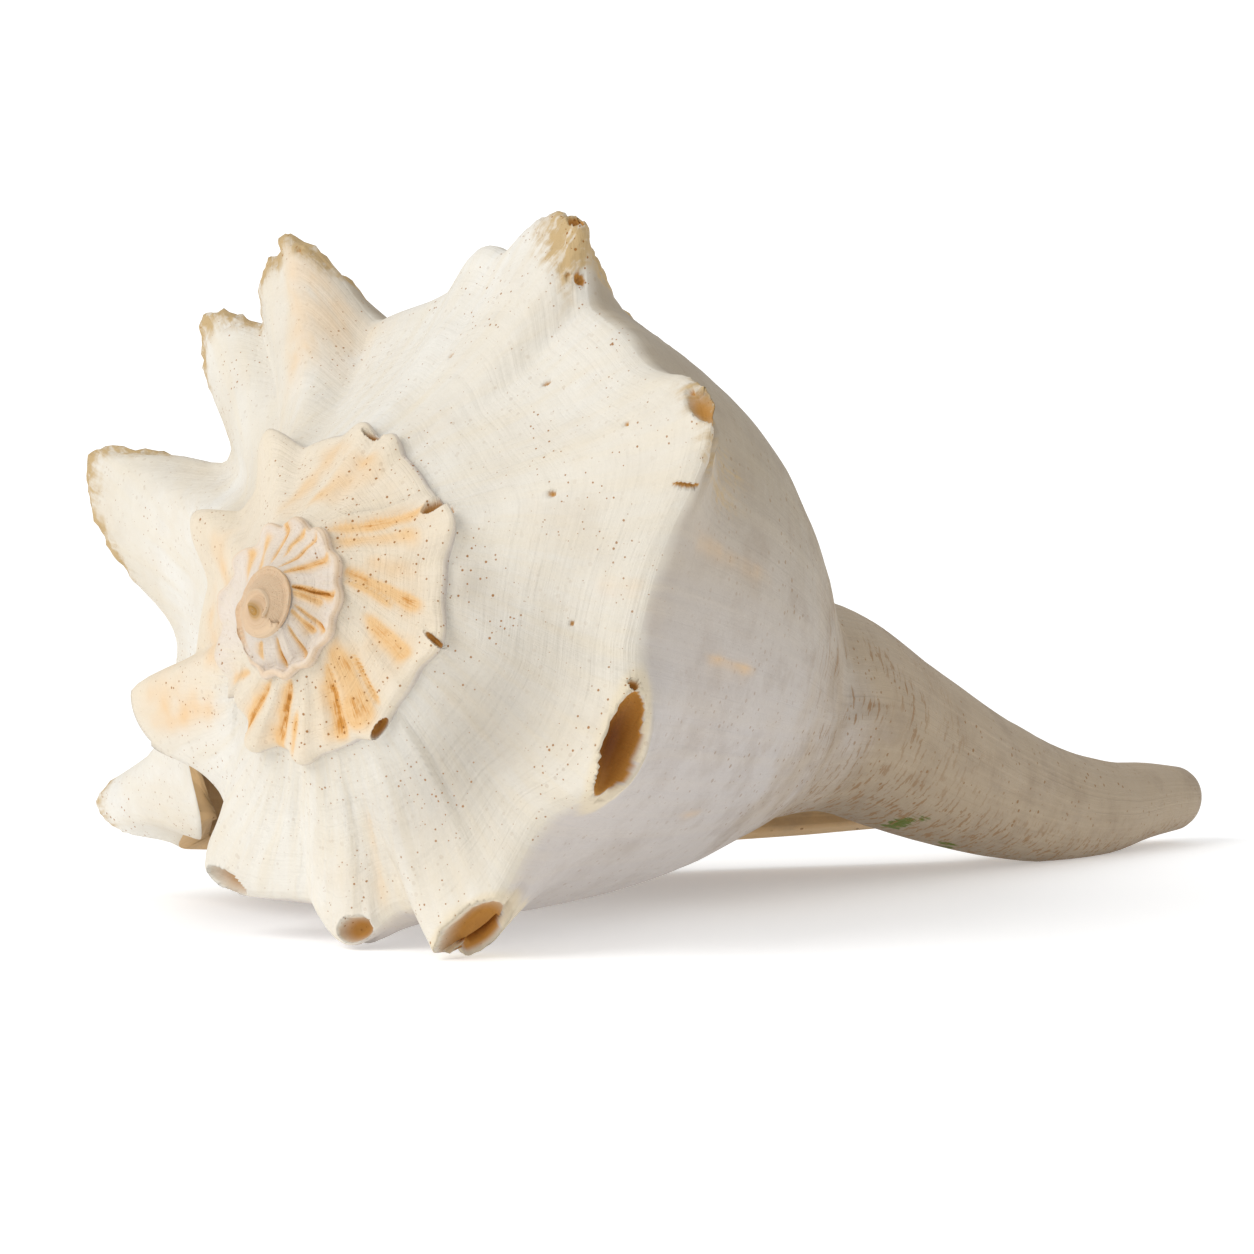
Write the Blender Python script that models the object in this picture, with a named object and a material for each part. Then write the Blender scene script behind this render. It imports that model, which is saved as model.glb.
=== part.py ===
"""Lightning whelk shell, a left-handed (sinistral) whelk resting on its aperture.

The shell grew as one piece, so the model is one closed solid.  It is drawn about its own axis with
the apex up, each part of the wall placed by its whorl angle on a logarithmic spiral, and is then
laid down with the apex toward -X, the canal toward +X and the aperture toward the ground.
Lengths are in mm and angles in degrees until a point is placed.
"""
import math

import bmesh
import bpy
import numpy as np
from mathutils import Matrix

MM = 0.001

# Growth spiral.  Whorl angles are in degrees and grow counter-clockwise seen from the apex.
GROWTH = 0.1222
KEEL_RADIUS = 42.25
KEEL_DROP = 25.26
START_ANGLE = -1160.0
LIP_ANGLE = 158.0
BODY_START = LIP_ANGLE - 360.0
SUTURE_DROP = 2.2
SUTURE_INSET = 0.985
RAMP_HOLLOW = 1.1

# The keel drifts inside or outside the ideal spiral: (whorl angle, offset in mm).
KEEL_DRIFT = (
    (-210.0, 0.0), (-145.0, 0.0), (-117.0, -0.4), (-85.0, -2.0), (-45.0, -2.7), (-30.0, -1.1),
    (0.0, 1.8), (14.0, 0.3), (40.0, -1.8), (57.0, -4.9), (85.0, -4.6), (101.0, -2.5), (133.0, -3.9),
    (143.0, -5.5), (152.0, -3.6), (165.0, -6.4),
)

# Shoulder spines: (whorl angle, height in mm, early half-width, late half-width, roundness).
SPINES = (
    (-17.5, 10.0, 22.0, 22.0, 1.6), (-66.0, 6.0, 17.0, 19.0, 0.7), (-110.0, 7.6, 8.5, 26.0, 0.8),
    (-133.0, 4.15, 15.0, 11.0, 0.8), (-172.0, 5.8, 9.0, 30.0, 0.9), (-213.5, 8.5, 7.0, 30.0, 0.9),
    (21.5, 8.6, 7.5, 24.0, 1.0), (40.5, 3.6, 13.0, 9.0, 0.9), (75.2, 15.8, 8.0, 9.0, 0.9),
    (79.0, 14.8, 8.0, 12.5, 0.8), (91.0, 15.2, 10.0, 11.5, 0.8), (112.0, 19.4, 8.0, 20.0, 1.0),
    (148.0, 11.2, 3.8, 11.0, 0.75),
)
SPINE_LIFT = 0.3
SPINE_REACH = 16.0
SPINE_START = 0.1
SPINE_RISE = 1.3

# How a spine runs down the body below it, as (whorl angle, share of its height, how steeply it
# fades).
FLANK = (
    (-205.0, 0.85, 1.8), (-185.0, 1.0, 1.2), (-165.0, 1.0, 1.2), (-140.0, 0.9, 1.6), (-120.0, 0.9, 1.8),
    (-105.0, 1.0, 1.3), (-64.0, 0.95, 1.5), (-17.0, 0.8, 2.4), (21.0, 0.85, 3.4), (60.0, 0.85, 3.2),
    (125.0, 0.85, 1.6), (146.0, 1.0, 1.0), (158.0, 1.0, 1.0),
)
SUTURE_SHARE = 0.6
SUTURE_LIFT = 0.1

# Knobs of the whorl before the last, as (whorl angle, height over keel radius, half-width).
KNOBS = (
    (-252.8, 0.22, 16.0), (-283.5, 0.19, 16.0), (-320.0, 0.08, 12.0), (-334.0, 0.08, 10.0),
    (-375.7, 0.17, 18.0), (-414.0, 0.15, 18.0), (-453.7, 0.10, 15.0), (-492.0, 0.09, 15.0),
    (-520.4, 0.16, 16.0),
)
KNOB_SKEW = 0.6
EARLY_KNOB_STEP = 27.0
EARLY_KNOB_HEIGHT = 0.10
EARLY_KNOB_END = -545.0
SMOOTH_TIP_END = -900.0

# Body and canal: (whorl angle, drop of the waist, canal girth).
WAIST = (
    (-202.0, 72.0, 0.42), (-130.0, 85.0, 0.95), (-50.0, 86.0, 1.0), (30.0, 93.0, 1.04),
    (100.0, 110.0, 1.08), (158.0, 138.0, 1.08),
)
BODY_POWER = 2.4
BODY_FULLNESS = 1.2
CANAL_TIP_DROP = 187.0
CANAL_TIP_RADIUS = 4.4
CANAL_TAPER = 0.102
CANAL_CAP = 3.0
TIP_OFFSET = 2.2
TIP_SHARPNESS = 4.0

# The canal sways to one side of the axis: (drop, offset in mm), toward whorl angle SWAY_ANGLE.
SWAY = (
    (0.0, 0.0), (78.0, 0.0), (99.0, -2.1), (113.0, 0.0), (124.0, 1.8), (138.0, 3.4),
    (150.0, 4.0), (164.0, 2.9), (176.0, 0.4), (187.0, -1.4),
)
SWAY_ANGLE = -132.0

# The lip runs ahead of the spiral below the keel: (drop, advance in degrees).
LIP_ADVANCE = (
    (0.0, 0.0), (20.0, 0.0), (29.0, 3.2), (36.0, 2.0), (44.0, 1.2), (78.0, 7.6), (110.0, 6.0),
    (135.0, 4.0), (187.0, 10.0),
)
LIP_BLEND = 70.0

# The lip's edge flares out above the keel: (drop, advance in degrees).
LIP_FLARE = ((0.0, 0.0), (19.5, 0.0), (23.0, 8.5), (27.0, 7.0), (33.0, 0.0), (187.0, 0.0))
FLARE_BLEND = 12.0
CANAL_TURN = 110.0

# Pits where a spine's hollow core has worn open: (whorl angle, depth below the point of the
# spine, drop from the keel, half-length, half-width, half-depth).
PITS = (
    (-64.5, 0.6, 0.3, 7.0, 2.0, 3.6), (-105.0, 1.2, -0.4, 4.8, 2.1, 3.0),
    (-131.5, 1.2, -1.4, 2.1, 1.4, 1.9), (-165.0, 0.8, -0.3, 3.8, 1.3, 2.0),
)

# Wall and hollow.  The wall is thicker under the ramp and at the keel, and thins with the canal.
WALL = 2.6
RAMP_WALL = 3.38
KEEL_WALL = 4.94
CALLUS = 1.6
THIN_WALL = 0.24
THIN_CALLUS = 0.08
CANAL_FLOOR = 5.0
HOLLOW_TURN = 450.0
HOLLOW_STEP = 15.0
MOUTH_TURN = 93.0
LIP_BEVEL = 3.0

# Nucleus: the knob of the first whorl that closes the apex, as its height and its swell halfway in.
NUCLEUS_RISE = 2.3
NUCLEUS_SWELL = 0.5

# Attitude at rest, and how deep the contact points are worn flat.
ROLL = 42.4
PITCH = 79.8
WEAR = 0.5

# Mesh density.
MERIDIAN_STEP = 6.0
RAMP_ROWS = 6
FLANK_ROWS = 1
BODY_ROWS = 17
BODY_SPACING = 1.15
CAP_ROW = BODY_ROWS - 2
CAP_STEP = 0.3
ATTACH_ROW = RAMP_ROWS + FLANK_ROWS
LAST_ROW = ATTACH_ROW + BODY_ROWS
WELD = 2e-6
SHARP_ANGLE = 40.0

COLOUR = (0.76, 0.69, 0.58, 1.0)
ROUGHNESS = 0.55


def clear_scene():
    """Remove every object the file opened with."""
    for obj in list(bpy.data.objects):
        bpy.data.objects.remove(obj, do_unlink=True)


def ease(x):
    """Smooth step from 0 to 1."""
    x = min(max(x, 0.0), 1.0)
    return x * x * (3.0 - 2.0 * x)


def curve(knots, x):
    """Smooth curve through knots of (position, value, ...), without overshoot between them."""
    table = np.array(knots)
    at = table[:, 0]
    values = table[:, 1:]
    x = min(max(x, at[0]), at[-1])
    steps = np.diff(at)[:, None]
    slopes = np.diff(values, axis=0) / steps
    left = slopes[:-1]
    right = slopes[1:]
    same_way = left * right > 0.0
    total = np.where(same_way, left + right, 1.0)
    inner = np.where(same_way, 2.0 * left * right / total, 0.0)
    tangents = np.vstack([slopes[:1], inner, slopes[-1:]])
    i = min(int(np.searchsorted(at, x, side="right")) - 1, len(at) - 2)
    span = at[i + 1] - at[i]
    t = (x - at[i]) / span
    blend = t * t * (3.0 - 2.0 * t)
    value = values[i] * (1.0 - blend) + values[i + 1] * blend
    value = value + span * t * (1.0 - t) * ((1.0 - t) * tangents[i] - t * tangents[i + 1])
    return value


def scale(theta):
    """Size of the whorl at theta over its size at whorl angle zero."""
    return math.exp(GROWTH * math.radians(theta))


def keel(theta):
    """Radius and drop of the smooth keel line, before spines."""
    drift = curve(KEEL_DRIFT, theta)[0]
    radius = KEEL_RADIUS * scale(theta) + drift
    drop = KEEL_DROP * scale(theta) - SPINE_LIFT * drift
    return radius, drop


def bump(offset, early, late, roundness):
    """Height of one spine, 0 to 1, at an angular offset from its point."""
    reach = early if offset < 0.0 else late
    x = min(abs(offset) / reach, 1.0)
    return (0.5 + 0.5 * math.cos(math.pi * x)) ** roundness


def spine_height(theta):
    """How far the spines and knobs push the keel out at theta, in mm."""
    height = 0.0
    for angle, top, early, late, roundness in SPINES:
        height = max(height, top * bump(theta - angle, early, late, roundness))
    radius = KEEL_RADIUS * scale(theta)
    for angle, top, reach in KNOBS:
        height = max(height, top * radius * bump(theta - angle, KNOB_SKEW * reach, reach, 1.0))
    if SMOOTH_TIP_END < theta < EARLY_KNOB_END:
        fade = ease((theta - SMOOTH_TIP_END) / EARLY_KNOB_STEP)
        wave = 0.5 + 0.5 * math.cos(2.0 * math.pi * theta / EARLY_KNOB_STEP)
        height = max(height, fade * EARLY_KNOB_HEIGHT * radius * wave)
    return height


def profile(theta, drop):
    """Radius of the body or canal at a drop below the keel."""
    radius, keel_drop = keel(theta)
    waist, girth = curve(WAIST, theta)
    inner = min(1.0, scale(theta) / scale(BODY_START))
    waist = waist * inner
    canal = girth * inner * (CANAL_TIP_RADIUS + (CANAL_TIP_DROP - drop) * CANAL_TAPER)
    top = girth * inner * (CANAL_TIP_RADIUS + (CANAL_TIP_DROP - keel_drop) * CANAL_TAPER)
    u = min(max((drop - keel_drop) / (waist - keel_drop), 0.0), 1.0)
    return canal + (radius - top) * (1.0 - u ** BODY_POWER) ** BODY_FULLNESS


def attach_point(theta):
    """Where the next whorl is fixed, just below the keel: radius and drop."""
    radius, drop = keel(theta)
    height = spine_height(theta)
    radius = SUTURE_INSET * radius + SUTURE_SHARE * height
    return radius, drop + SUTURE_DROP * scale(theta) - SUTURE_LIFT * height


def ramp_point(theta, u):
    """Point on the ramp, u = 0 at the suture and 1 at the keel."""
    suture_radius, suture_drop = attach_point(theta - 360.0)
    radius, drop = keel(theta)
    height = spine_height(theta) * max(0.0, (u - SPINE_START) / (1.0 - SPINE_START)) ** SPINE_RISE
    radius = suture_radius + (radius - suture_radius) * u + height
    drop = suture_drop + (drop - suture_drop) * u - SPINE_LIFT * height
    return radius, drop + RAMP_HOLLOW * scale(theta) * math.sin(math.pi * u)


def row_drop(start, end, row):
    """Drop of a body row, from the attachment line at start to the closed end."""
    if row <= CAP_ROW:
        return start + (end - CANAL_CAP - start) * (row / CAP_ROW) ** BODY_SPACING
    return end - CANAL_CAP * CAP_STEP * (BODY_ROWS - row)


def body_point(theta, row):
    """Point on the body and canal, on a row counted from the attachment line to the canal tip."""
    drop = row_drop(attach_point(theta)[1], CANAL_TIP_DROP, row)
    keel_drop = keel(theta)[1]
    height = spine_height(theta)
    fall = max(0.0, 1.0 - (drop - keel_drop) / (SPINE_REACH * scale(theta)))
    share, fade = curve(FLANK, theta)
    radius = profile(theta, drop) + share * height * fall ** fade
    cap = max(0.0, (drop - CANAL_TIP_DROP + CANAL_CAP) / CANAL_CAP)
    return radius * math.sqrt(max(0.0, 1.0 - cap * cap)), drop


def place(theta, radius, drop):
    """Turn whorl angle, radius and drop into a point, apex up, in mm."""
    blend = ease((theta - LIP_ANGLE + LIP_BLEND) / LIP_BLEND)
    flare = ease((theta - LIP_ANGLE + FLARE_BLEND) / FLARE_BLEND)
    advance = blend * curve(LIP_ADVANCE, drop)[0] + flare * curve(LIP_FLARE, drop)[0]
    angle = math.radians(theta + advance)
    sway = curve(SWAY, drop)[0]
    side = math.radians(SWAY_ANGLE)
    lip = math.radians(LIP_ANGLE)
    tip = TIP_OFFSET * max(0.0, (drop - CANAL_TIP_DROP + CANAL_CAP) / CANAL_CAP) ** TIP_SHARPNESS
    x = radius * math.cos(angle) + sway * math.cos(side) + tip * math.cos(lip)
    y = radius * math.sin(angle) + sway * math.sin(side) + tip * math.sin(lip)
    return x, y, -drop


def outer_point(theta, row):
    """Point of the outer surface on a row, counted from the suture to the canal tip."""
    if row <= RAMP_ROWS:
        return ramp_point(theta, row / RAMP_ROWS)
    if row == ATTACH_ROW:
        return attach_point(theta)
    return body_point(theta, row - ATTACH_ROW)


def hollow_floor(theta):
    """Drop at which the hollow ends toward the canal."""
    waist = curve(WAIST, theta)[0]
    opening = ease((theta - LIP_ANGLE + CANAL_TURN) / CANAL_TURN)
    return waist + (CANAL_TIP_DROP - CANAL_FLOOR - waist) * opening


def hollow_ring(theta):
    """One closed ring of the hollow: along the ramp, down the outer wall, up the columella."""
    ring = []
    suture_radius, suture_drop = attach_point(theta - 360.0)
    radius, drop = keel(theta)
    for row in range(RAMP_ROWS + 1):
        u = row / RAMP_ROWS
        near = suture_radius + CALLUS
        roof = suture_drop + (drop - suture_drop) * u + RAMP_HOLLOW * scale(theta) * math.sin(math.pi * u)
        ring.append((near + (radius - WALL - near) * u, roof + RAMP_WALL, True))
    top = drop + KEEL_WALL
    floor = hollow_floor(theta)
    for row in range(BODY_ROWS + 1):
        at = row_drop(top, floor, row)
        outside = profile(theta, at)
        ring.append((outside - min(WALL, THIN_WALL * outside), at, True))
    top = suture_drop + KEEL_WALL
    for row in range(BODY_ROWS - 1, 0, -1):
        at = row_drop(top, floor, row)
        callus = min(CALLUS, THIN_CALLUS * profile(theta, at))
        ring.append((profile(theta - 360.0, at) + callus, at, False))
    return ring


def mouth_ring():
    """The edge of the outer surface around the aperture, matching the rings of the hollow."""
    ring = [outer_point(LIP_ANGLE, row) + (True,) for row in range(LAST_ROW + 1)]
    for row in range(LAST_ROW - 1, ATTACH_ROW, -1):
        ring.append(outer_point(BODY_START, row) + (False,))
    return ring


def ring_position(theta, point):
    """Place a ring point; points on the columella side stay behind the lip."""
    radius, drop, on_lip = point
    if on_lip:
        return place(theta, radius, drop)
    return place(theta - 360.0, radius, drop)


def add_sheet(bm, columns, rows, point_at):
    """Add a grid of faces whose corners are point_at(column, row), in mm."""
    made = bmesh.ops.create_grid(bm, x_segments=columns - 1, y_segments=rows - 1, size=1.0)
    for vert in made["verts"]:
        column = round((vert.co.x + 1.0) / 2.0 * (columns - 1))
        row = round((vert.co.y + 1.0) / 2.0 * (rows - 1))
        x, y, z = point_at(column, row)
        vert.co = (x * MM, y * MM, z * MM)


def meridians():
    """Whorl angles of one turn from the lip back, with one on the point of each spine."""
    count = round(360.0 / MERIDIAN_STEP)
    turn = [BODY_START + MERIDIAN_STEP * i for i in range(count)]
    for spine in SPINES:
        i = round((spine[0] - BODY_START) / MERIDIAN_STEP) % count
        if i > 0 and spine[0] > BODY_START:
            turn[i] = spine[0]
    return turn


def build_shell():
    """Model the whole shell as one closed mesh, apex up."""
    turn = meridians()
    body_angles = turn + [LIP_ANGLE]
    spire_angles = []
    back = 360.0
    while turn[0] - back > START_ANGLE - 360.0:
        spire_angles = [angle - back for angle in turn if angle - back >= START_ANGLE] + spire_angles
        back = back + 360.0
    spire_angles.append(BODY_START)
    bm = bmesh.new()
    add_sheet(bm, len(spire_angles), ATTACH_ROW + 1,
              lambda i, j: place(spire_angles[i], *outer_point(spire_angles[i], j)))
    add_sheet(bm, len(body_angles), LAST_ROW + 1,
              lambda i, j: place(body_angles[i], *outer_point(body_angles[i], j)))
    inside = LIP_ANGLE - LIP_BEVEL
    near = [inside - MERIDIAN_STEP * i for i in range(int(MOUTH_TURN / MERIDIAN_STEP))]
    far = round((HOLLOW_TURN - MOUTH_TURN) / HOLLOW_STEP)
    angles = near + [LIP_ANGLE - MOUTH_TURN - HOLLOW_STEP * i for i in range(far + 1)]
    rings = [mouth_ring()] + [hollow_ring(angle) for angle in angles]
    angles = [LIP_ANGLE] + angles
    size = len(rings[0])
    add_sheet(bm, len(rings), size + 1,
              lambda i, j: ring_position(angles[i], rings[i][j % size]))
    bmesh.ops.remove_doubles(bm, verts=bm.verts, dist=WELD)
    open_edges = [edge for edge in bm.edges if edge.is_boundary]
    caps = bmesh.ops.holes_fill(bm, edges=open_edges, sides=0)["faces"]
    first = [max(caps, key=lambda face: face.calc_center_median().z)]
    knob = bmesh.ops.poke(bm, faces=first)["verts"][0]
    knob.co.z += NUCLEUS_RISE * MM
    spokes = list(knob.link_edges)
    halves = bmesh.ops.subdivide_edges(bm, edges=spokes, cuts=1)["geom_inner"]
    for vert in halves:
        if isinstance(vert, bmesh.types.BMVert):
            vert.co.z += NUCLEUS_SWELL * MM
    bmesh.ops.triangulate(bm, faces=bm.faces)
    return bm


def lay_down(bm):
    """Lay the shell on its aperture, wear its contact points flat and return the matrix used."""
    roll = Matrix.Rotation(math.radians(-ROLL), 4, "Z")
    attitude = Matrix.Rotation(math.radians(-PITCH), 4, "Y") @ roll
    bmesh.ops.transform(bm, matrix=attitude, verts=bm.verts)
    low = min(vert.co.z for vert in bm.verts) + WEAR * MM
    bmesh.ops.bisect_plane(bm, geom=bm.verts[:] + bm.edges[:] + bm.faces[:], dist=1e-7,
                           plane_co=(0.0, 0.0, low), plane_no=(0.0, 0.0, 1.0), clear_inner=True)
    cut = [edge for edge in bm.edges if edge.is_boundary]
    bmesh.ops.holes_fill(bm, edges=cut, sides=0)
    xs = [vert.co.x for vert in bm.verts]
    ys = [vert.co.y for vert in bm.verts]
    shift = Matrix.Translation((-(min(xs) + max(xs)) / 2.0, -(min(ys) + max(ys)) / 2.0, -low))
    bmesh.ops.transform(bm, matrix=shift, verts=bm.verts)
    bmesh.ops.recalc_face_normals(bm, faces=bm.faces)
    if bm.calc_volume(signed=True) < 0.0:
        bmesh.ops.reverse_faces(bm, faces=bm.faces)
    return shift @ attitude


def pit_matrix(pit):
    """Place and stretch a unit ball into one pit, in the apex-up frame."""
    angle, depth, below, length, width, reach = pit
    radius, drop = keel(angle)
    radius = radius + spine_height(angle) - depth
    drop = drop - SPINE_LIFT * spine_height(angle) + below
    turn = Matrix.Rotation(math.radians(angle), 4, "Z")
    spot = Matrix.Translation((radius * MM, 0.0, -drop * MM))
    return turn @ spot @ Matrix.Diagonal((reach * MM, length * MM, width * MM, 1.0))


def cut_pits(shell, rest, collection):
    """Cut the open cores of the worn spines with ball cutters."""
    for i, pit in enumerate(PITS):
        bm = bmesh.new()
        bmesh.ops.create_icosphere(bm, subdivisions=2, radius=1.0)
        bmesh.ops.transform(bm, matrix=rest @ pit_matrix(pit), verts=bm.verts)
        mesh = bpy.data.meshes.new(f"pit_cutter_{i}")
        bm.to_mesh(mesh)
        bm.free()
        cutter = bpy.data.objects.new(f"pit_cutter_{i}", mesh)
        cutter.hide_render = True
        cutter.display_type = "WIRE"
        collection.objects.link(cutter)
        cut = shell.modifiers.new(f"pit_{i}", "BOOLEAN")
        cut.operation = "DIFFERENCE"
        cut.object = cutter


def shell_material():
    """Worn, unpolished whelk shell."""
    material = bpy.data.materials.new("whelk_shell")
    material.use_nodes = True
    shader = material.node_tree.nodes["Principled BSDF"]
    shader.inputs["Base Color"].default_value = COLOUR
    shader.inputs["Roughness"].default_value = ROUGHNESS
    shader.inputs["Metallic"].default_value = 0.0
    return material


def main():
    """Build the shell in a collection of its own."""
    clear_scene()
    parts = bpy.data.collections.new("lightning_whelk_shell")
    cutters = bpy.data.collections.new("cutters")
    bpy.context.scene.collection.children.link(parts)
    bpy.context.scene.collection.children.link(cutters)
    bm = build_shell()
    rest = lay_down(bm)
    mesh = bpy.data.meshes.new("shell")
    bm.to_mesh(mesh)
    bm.free()
    mesh.shade_smooth()
    mesh.set_sharp_from_angle(angle=math.radians(SHARP_ANGLE))
    mesh.materials.append(shell_material())
    shell = bpy.data.objects.new("shell", mesh)
    parts.objects.link(shell)
    cut_pits(shell, rest, cutters)


main()
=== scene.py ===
"""Lightning whelk shell, worn by surf and lying on its aperture on a white table.

The shell is drawn about its own axis with the apex up, in millimetres and degrees, and is then laid
down in the frame.  Whorl angles grow counter-clockwise seen from the apex, as a left-handed shell does.
"""
import logging
import math
from dataclasses import dataclass, field, replace
from enum import Enum
from functools import partial

import bmesh
import bpy
import numpy as np
from bpy.types import NodeSocket, NodeTree
from mathutils import Matrix, Vector, noise


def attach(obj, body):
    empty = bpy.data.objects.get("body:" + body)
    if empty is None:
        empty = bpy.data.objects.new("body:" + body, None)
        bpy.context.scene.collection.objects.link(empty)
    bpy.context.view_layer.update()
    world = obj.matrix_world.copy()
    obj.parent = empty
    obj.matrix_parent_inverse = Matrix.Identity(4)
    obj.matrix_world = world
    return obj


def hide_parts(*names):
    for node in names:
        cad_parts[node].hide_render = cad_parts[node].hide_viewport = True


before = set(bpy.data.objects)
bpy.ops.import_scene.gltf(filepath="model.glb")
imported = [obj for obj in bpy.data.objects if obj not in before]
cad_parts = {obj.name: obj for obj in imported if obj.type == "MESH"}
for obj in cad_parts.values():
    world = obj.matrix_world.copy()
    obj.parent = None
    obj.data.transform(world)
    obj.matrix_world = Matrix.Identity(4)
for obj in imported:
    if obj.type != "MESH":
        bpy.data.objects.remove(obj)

LOG = logging.getLogger("whelk")
MM = 0.001
TURN = 360.0

# Growth coordinates.  Turns are counted from before the apex; whorl angle zero lies at TURNS_AT_ZERO.
# The share of the way out is 0 at the suture, 1 at the keel, EDGE just under it, about 2 at the canal's
# tip, and WITHIN or more in the hollow.  INSIDE parts the outer skin from the hollow.
TURNS_AT_ZERO = 4.0
EDGE = 1.02
INSIDE = 2.5
WITHIN = 3.0


class Mask(Enum):
    """Painted amounts that the shell's finish reads, one number at each vertex."""

    CORE = "hollow_core"
    RIM = "hollow_rim"
    TIP = "worn_tip"
    RUST = "orange_mark"
    PORES = "pore_density"
    ALGAE = "green_algae"
    # Soiling, cracks and grit, with painted shade over the lower middle of the ramp and a darker belly.
    DIRT_AND_SHADE = "dirt_and_painted_shade"


def ease(x: np.ndarray) -> np.ndarray:
    """Smooth step from 0 to 1."""
    x = np.clip(x, 0.0, 1.0)
    return x * x * (3.0 - 2.0 * x)


def ramp(x: np.ndarray, low: float, high: float) -> np.ndarray:
    """Smooth step from 0 at low to 1 at high."""
    return ease((np.asarray(x, dtype=float) - low) / (high - low))


def hill(x: np.ndarray, middle: float, half_width: float) -> np.ndarray:
    """Bell of height 1 around middle."""
    return np.exp(-(((np.asarray(x, dtype=float) - middle) / half_width) ** 2))


def grain(points: np.ndarray, size: float, seed: float) -> np.ndarray:
    """Read smooth noise at points.

    Args:
        points: Positions, one row each, in mm.
        size: Size of the grain in mm.
        seed: Shift that picks one pattern out of many.

    Returns:
        One value per point, about -1 to 1.
    """
    scaled = points / size + seed
    return np.array([noise.noise(point) for point in scaled.tolist()])


def read(items: bpy.types.bpy_prop_collection, name: str, width: int) -> np.ndarray:
    """Read one property of every item of a mesh.

    Args:
        items: The vertices, normals, or corners of a UV map.
        name: The property.
        width: How many numbers each item has.

    Returns:
        One row for each item.
    """
    flat = np.empty(len(items) * width)
    items.foreach_get(name, flat)
    return flat.reshape(-1, width)


def add_object(name: str, data: bpy.types.ID) -> bpy.types.Object:
    """Put an object into the scene.

    Args:
        name: Its name.
        data: Its mesh, light or camera.

    Returns:
        The object.
    """
    made = bpy.data.objects.new(name, data)
    bpy.context.scene.collection.objects.link(made)
    return made


@dataclass(frozen=True)
class Knots:
    """A smooth curve through knots of (position, value, ...), without overshoot between them."""

    points: tuple[tuple[float, ...], ...]

    def at(self, x: np.ndarray) -> np.ndarray:
        """Read the curve.

        Args:
            x: Positions, of any shape.

        Returns:
            The value at each position; the last axis holds the values where a knot has several.
        """
        table = np.array(self.points, dtype=float)
        places, values = table[:, 0], table[:, 1:]
        spans = np.diff(places)[:, None]
        slopes = np.diff(values, axis=0) / spans
        same_way = slopes[:-1] * slopes[1:] > 0.0
        total = np.where(same_way, slopes[:-1] + slopes[1:], 1.0)
        inner = np.where(same_way, 2.0 * slopes[:-1] * slopes[1:] / total, 0.0)
        tangents = np.vstack([slopes[:1], inner, slopes[-1:]])
        x = np.clip(np.asarray(x, dtype=float), places[0], places[-1])
        i = np.clip(np.searchsorted(places, x, side="right") - 1, 0, len(places) - 2)
        span = (places[i + 1] - places[i])[..., None]
        t = (x - places[i])[..., None] / span
        blend = ease(t)
        value = values[i] * (1.0 - blend) + values[i + 1] * blend
        value = value + span * t * (1.0 - t) * ((1.0 - t) * tangents[i] - t * tangents[i + 1])
        return value[..., 0] if values.shape[1] == 1 else value


@dataclass(frozen=True)
class Spine:
    """One spine of the shoulder keel.

    Args:
        angle: Whorl angle of the point, in degrees.
        height: How far it stands out of the keel, in mm.
        early: Half-width on the side that grew first, in degrees.
        late: Half-width on the side that grew last, in degrees.
        roundness: Above 1 for a slender point, below 1 for a blunt one.
    """

    angle: float
    height: float
    early: float
    late: float
    roundness: float

    def lift(self, theta: np.ndarray) -> np.ndarray:
        """Height of the spine at each whorl angle, in mm.

        Args:
            theta: Whorl angles, in degrees.

        Returns:
            The heights.
        """
        offset = theta - self.angle
        reach = np.where(offset < 0.0, self.early, self.late)
        x = np.minimum(np.abs(offset) / reach, 1.0)
        return self.height * (0.5 + 0.5 * np.cos(math.pi * x)) ** self.roundness


@dataclass(frozen=True)
class Pit:
    """An open hollow, shaped as half an egg pressed into the wall from outside.

    Args:
        angle: Whorl angle of its middle, in degrees.
        share: Share of the way out from the suture, 1 at the keel.
        length: Half-length along the growth, in mm.
        width: Half-width across it, in mm.
        depth: Depth in mm.
        turn: Turn of the long side away from the keel line, in degrees.
        lean: Turn of the opening away from the apex, in degrees.
        rim: Height of the raised lip, in mm.
        stain: How brown the bottom is, 0 to 1.
    """

    angle: float
    share: float
    length: float
    width: float
    depth: float
    turn: float = 0.0
    lean: float = 0.0
    rim: float = 0.0
    stain: float = 0.45


@dataclass(frozen=True)
class Streak:
    """A mark or a rib laid down along a growth line.

    Args:
        angle: Whorl angle at which its growth line leaves the suture, in degrees.
        width: Half-width, in degrees.
        start: Share of the way out where it begins.
        end: Share where it ends.
        strength: Colour, from 0 for none past pale peach to 1 for rust.
        rise: Height of the rib in mm, below 0 for a groove.
    """

    angle: float
    width: float
    start: float
    end: float
    strength: float
    rise: float = 0.0

    def amount(self, line: np.ndarray, share: np.ndarray) -> np.ndarray:
        """How much of the mark there is at each vertex, 0 to 1.

        Args:
            line: Growth line at each vertex, as the whorl angle where it leaves the suture.
            share: Share of the way out at each vertex.

        Returns:
            The amounts.
        """
        soft = 0.2 * (self.end - self.start)
        along = ramp(share, self.start - soft, self.start + soft)
        along = along * (1.0 - ramp(share, self.end - soft, self.end + soft))
        width = np.where(line < self.angle, 1.3 * self.width, 0.6 * self.width)
        return along * hill(line, self.angle, width)


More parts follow.
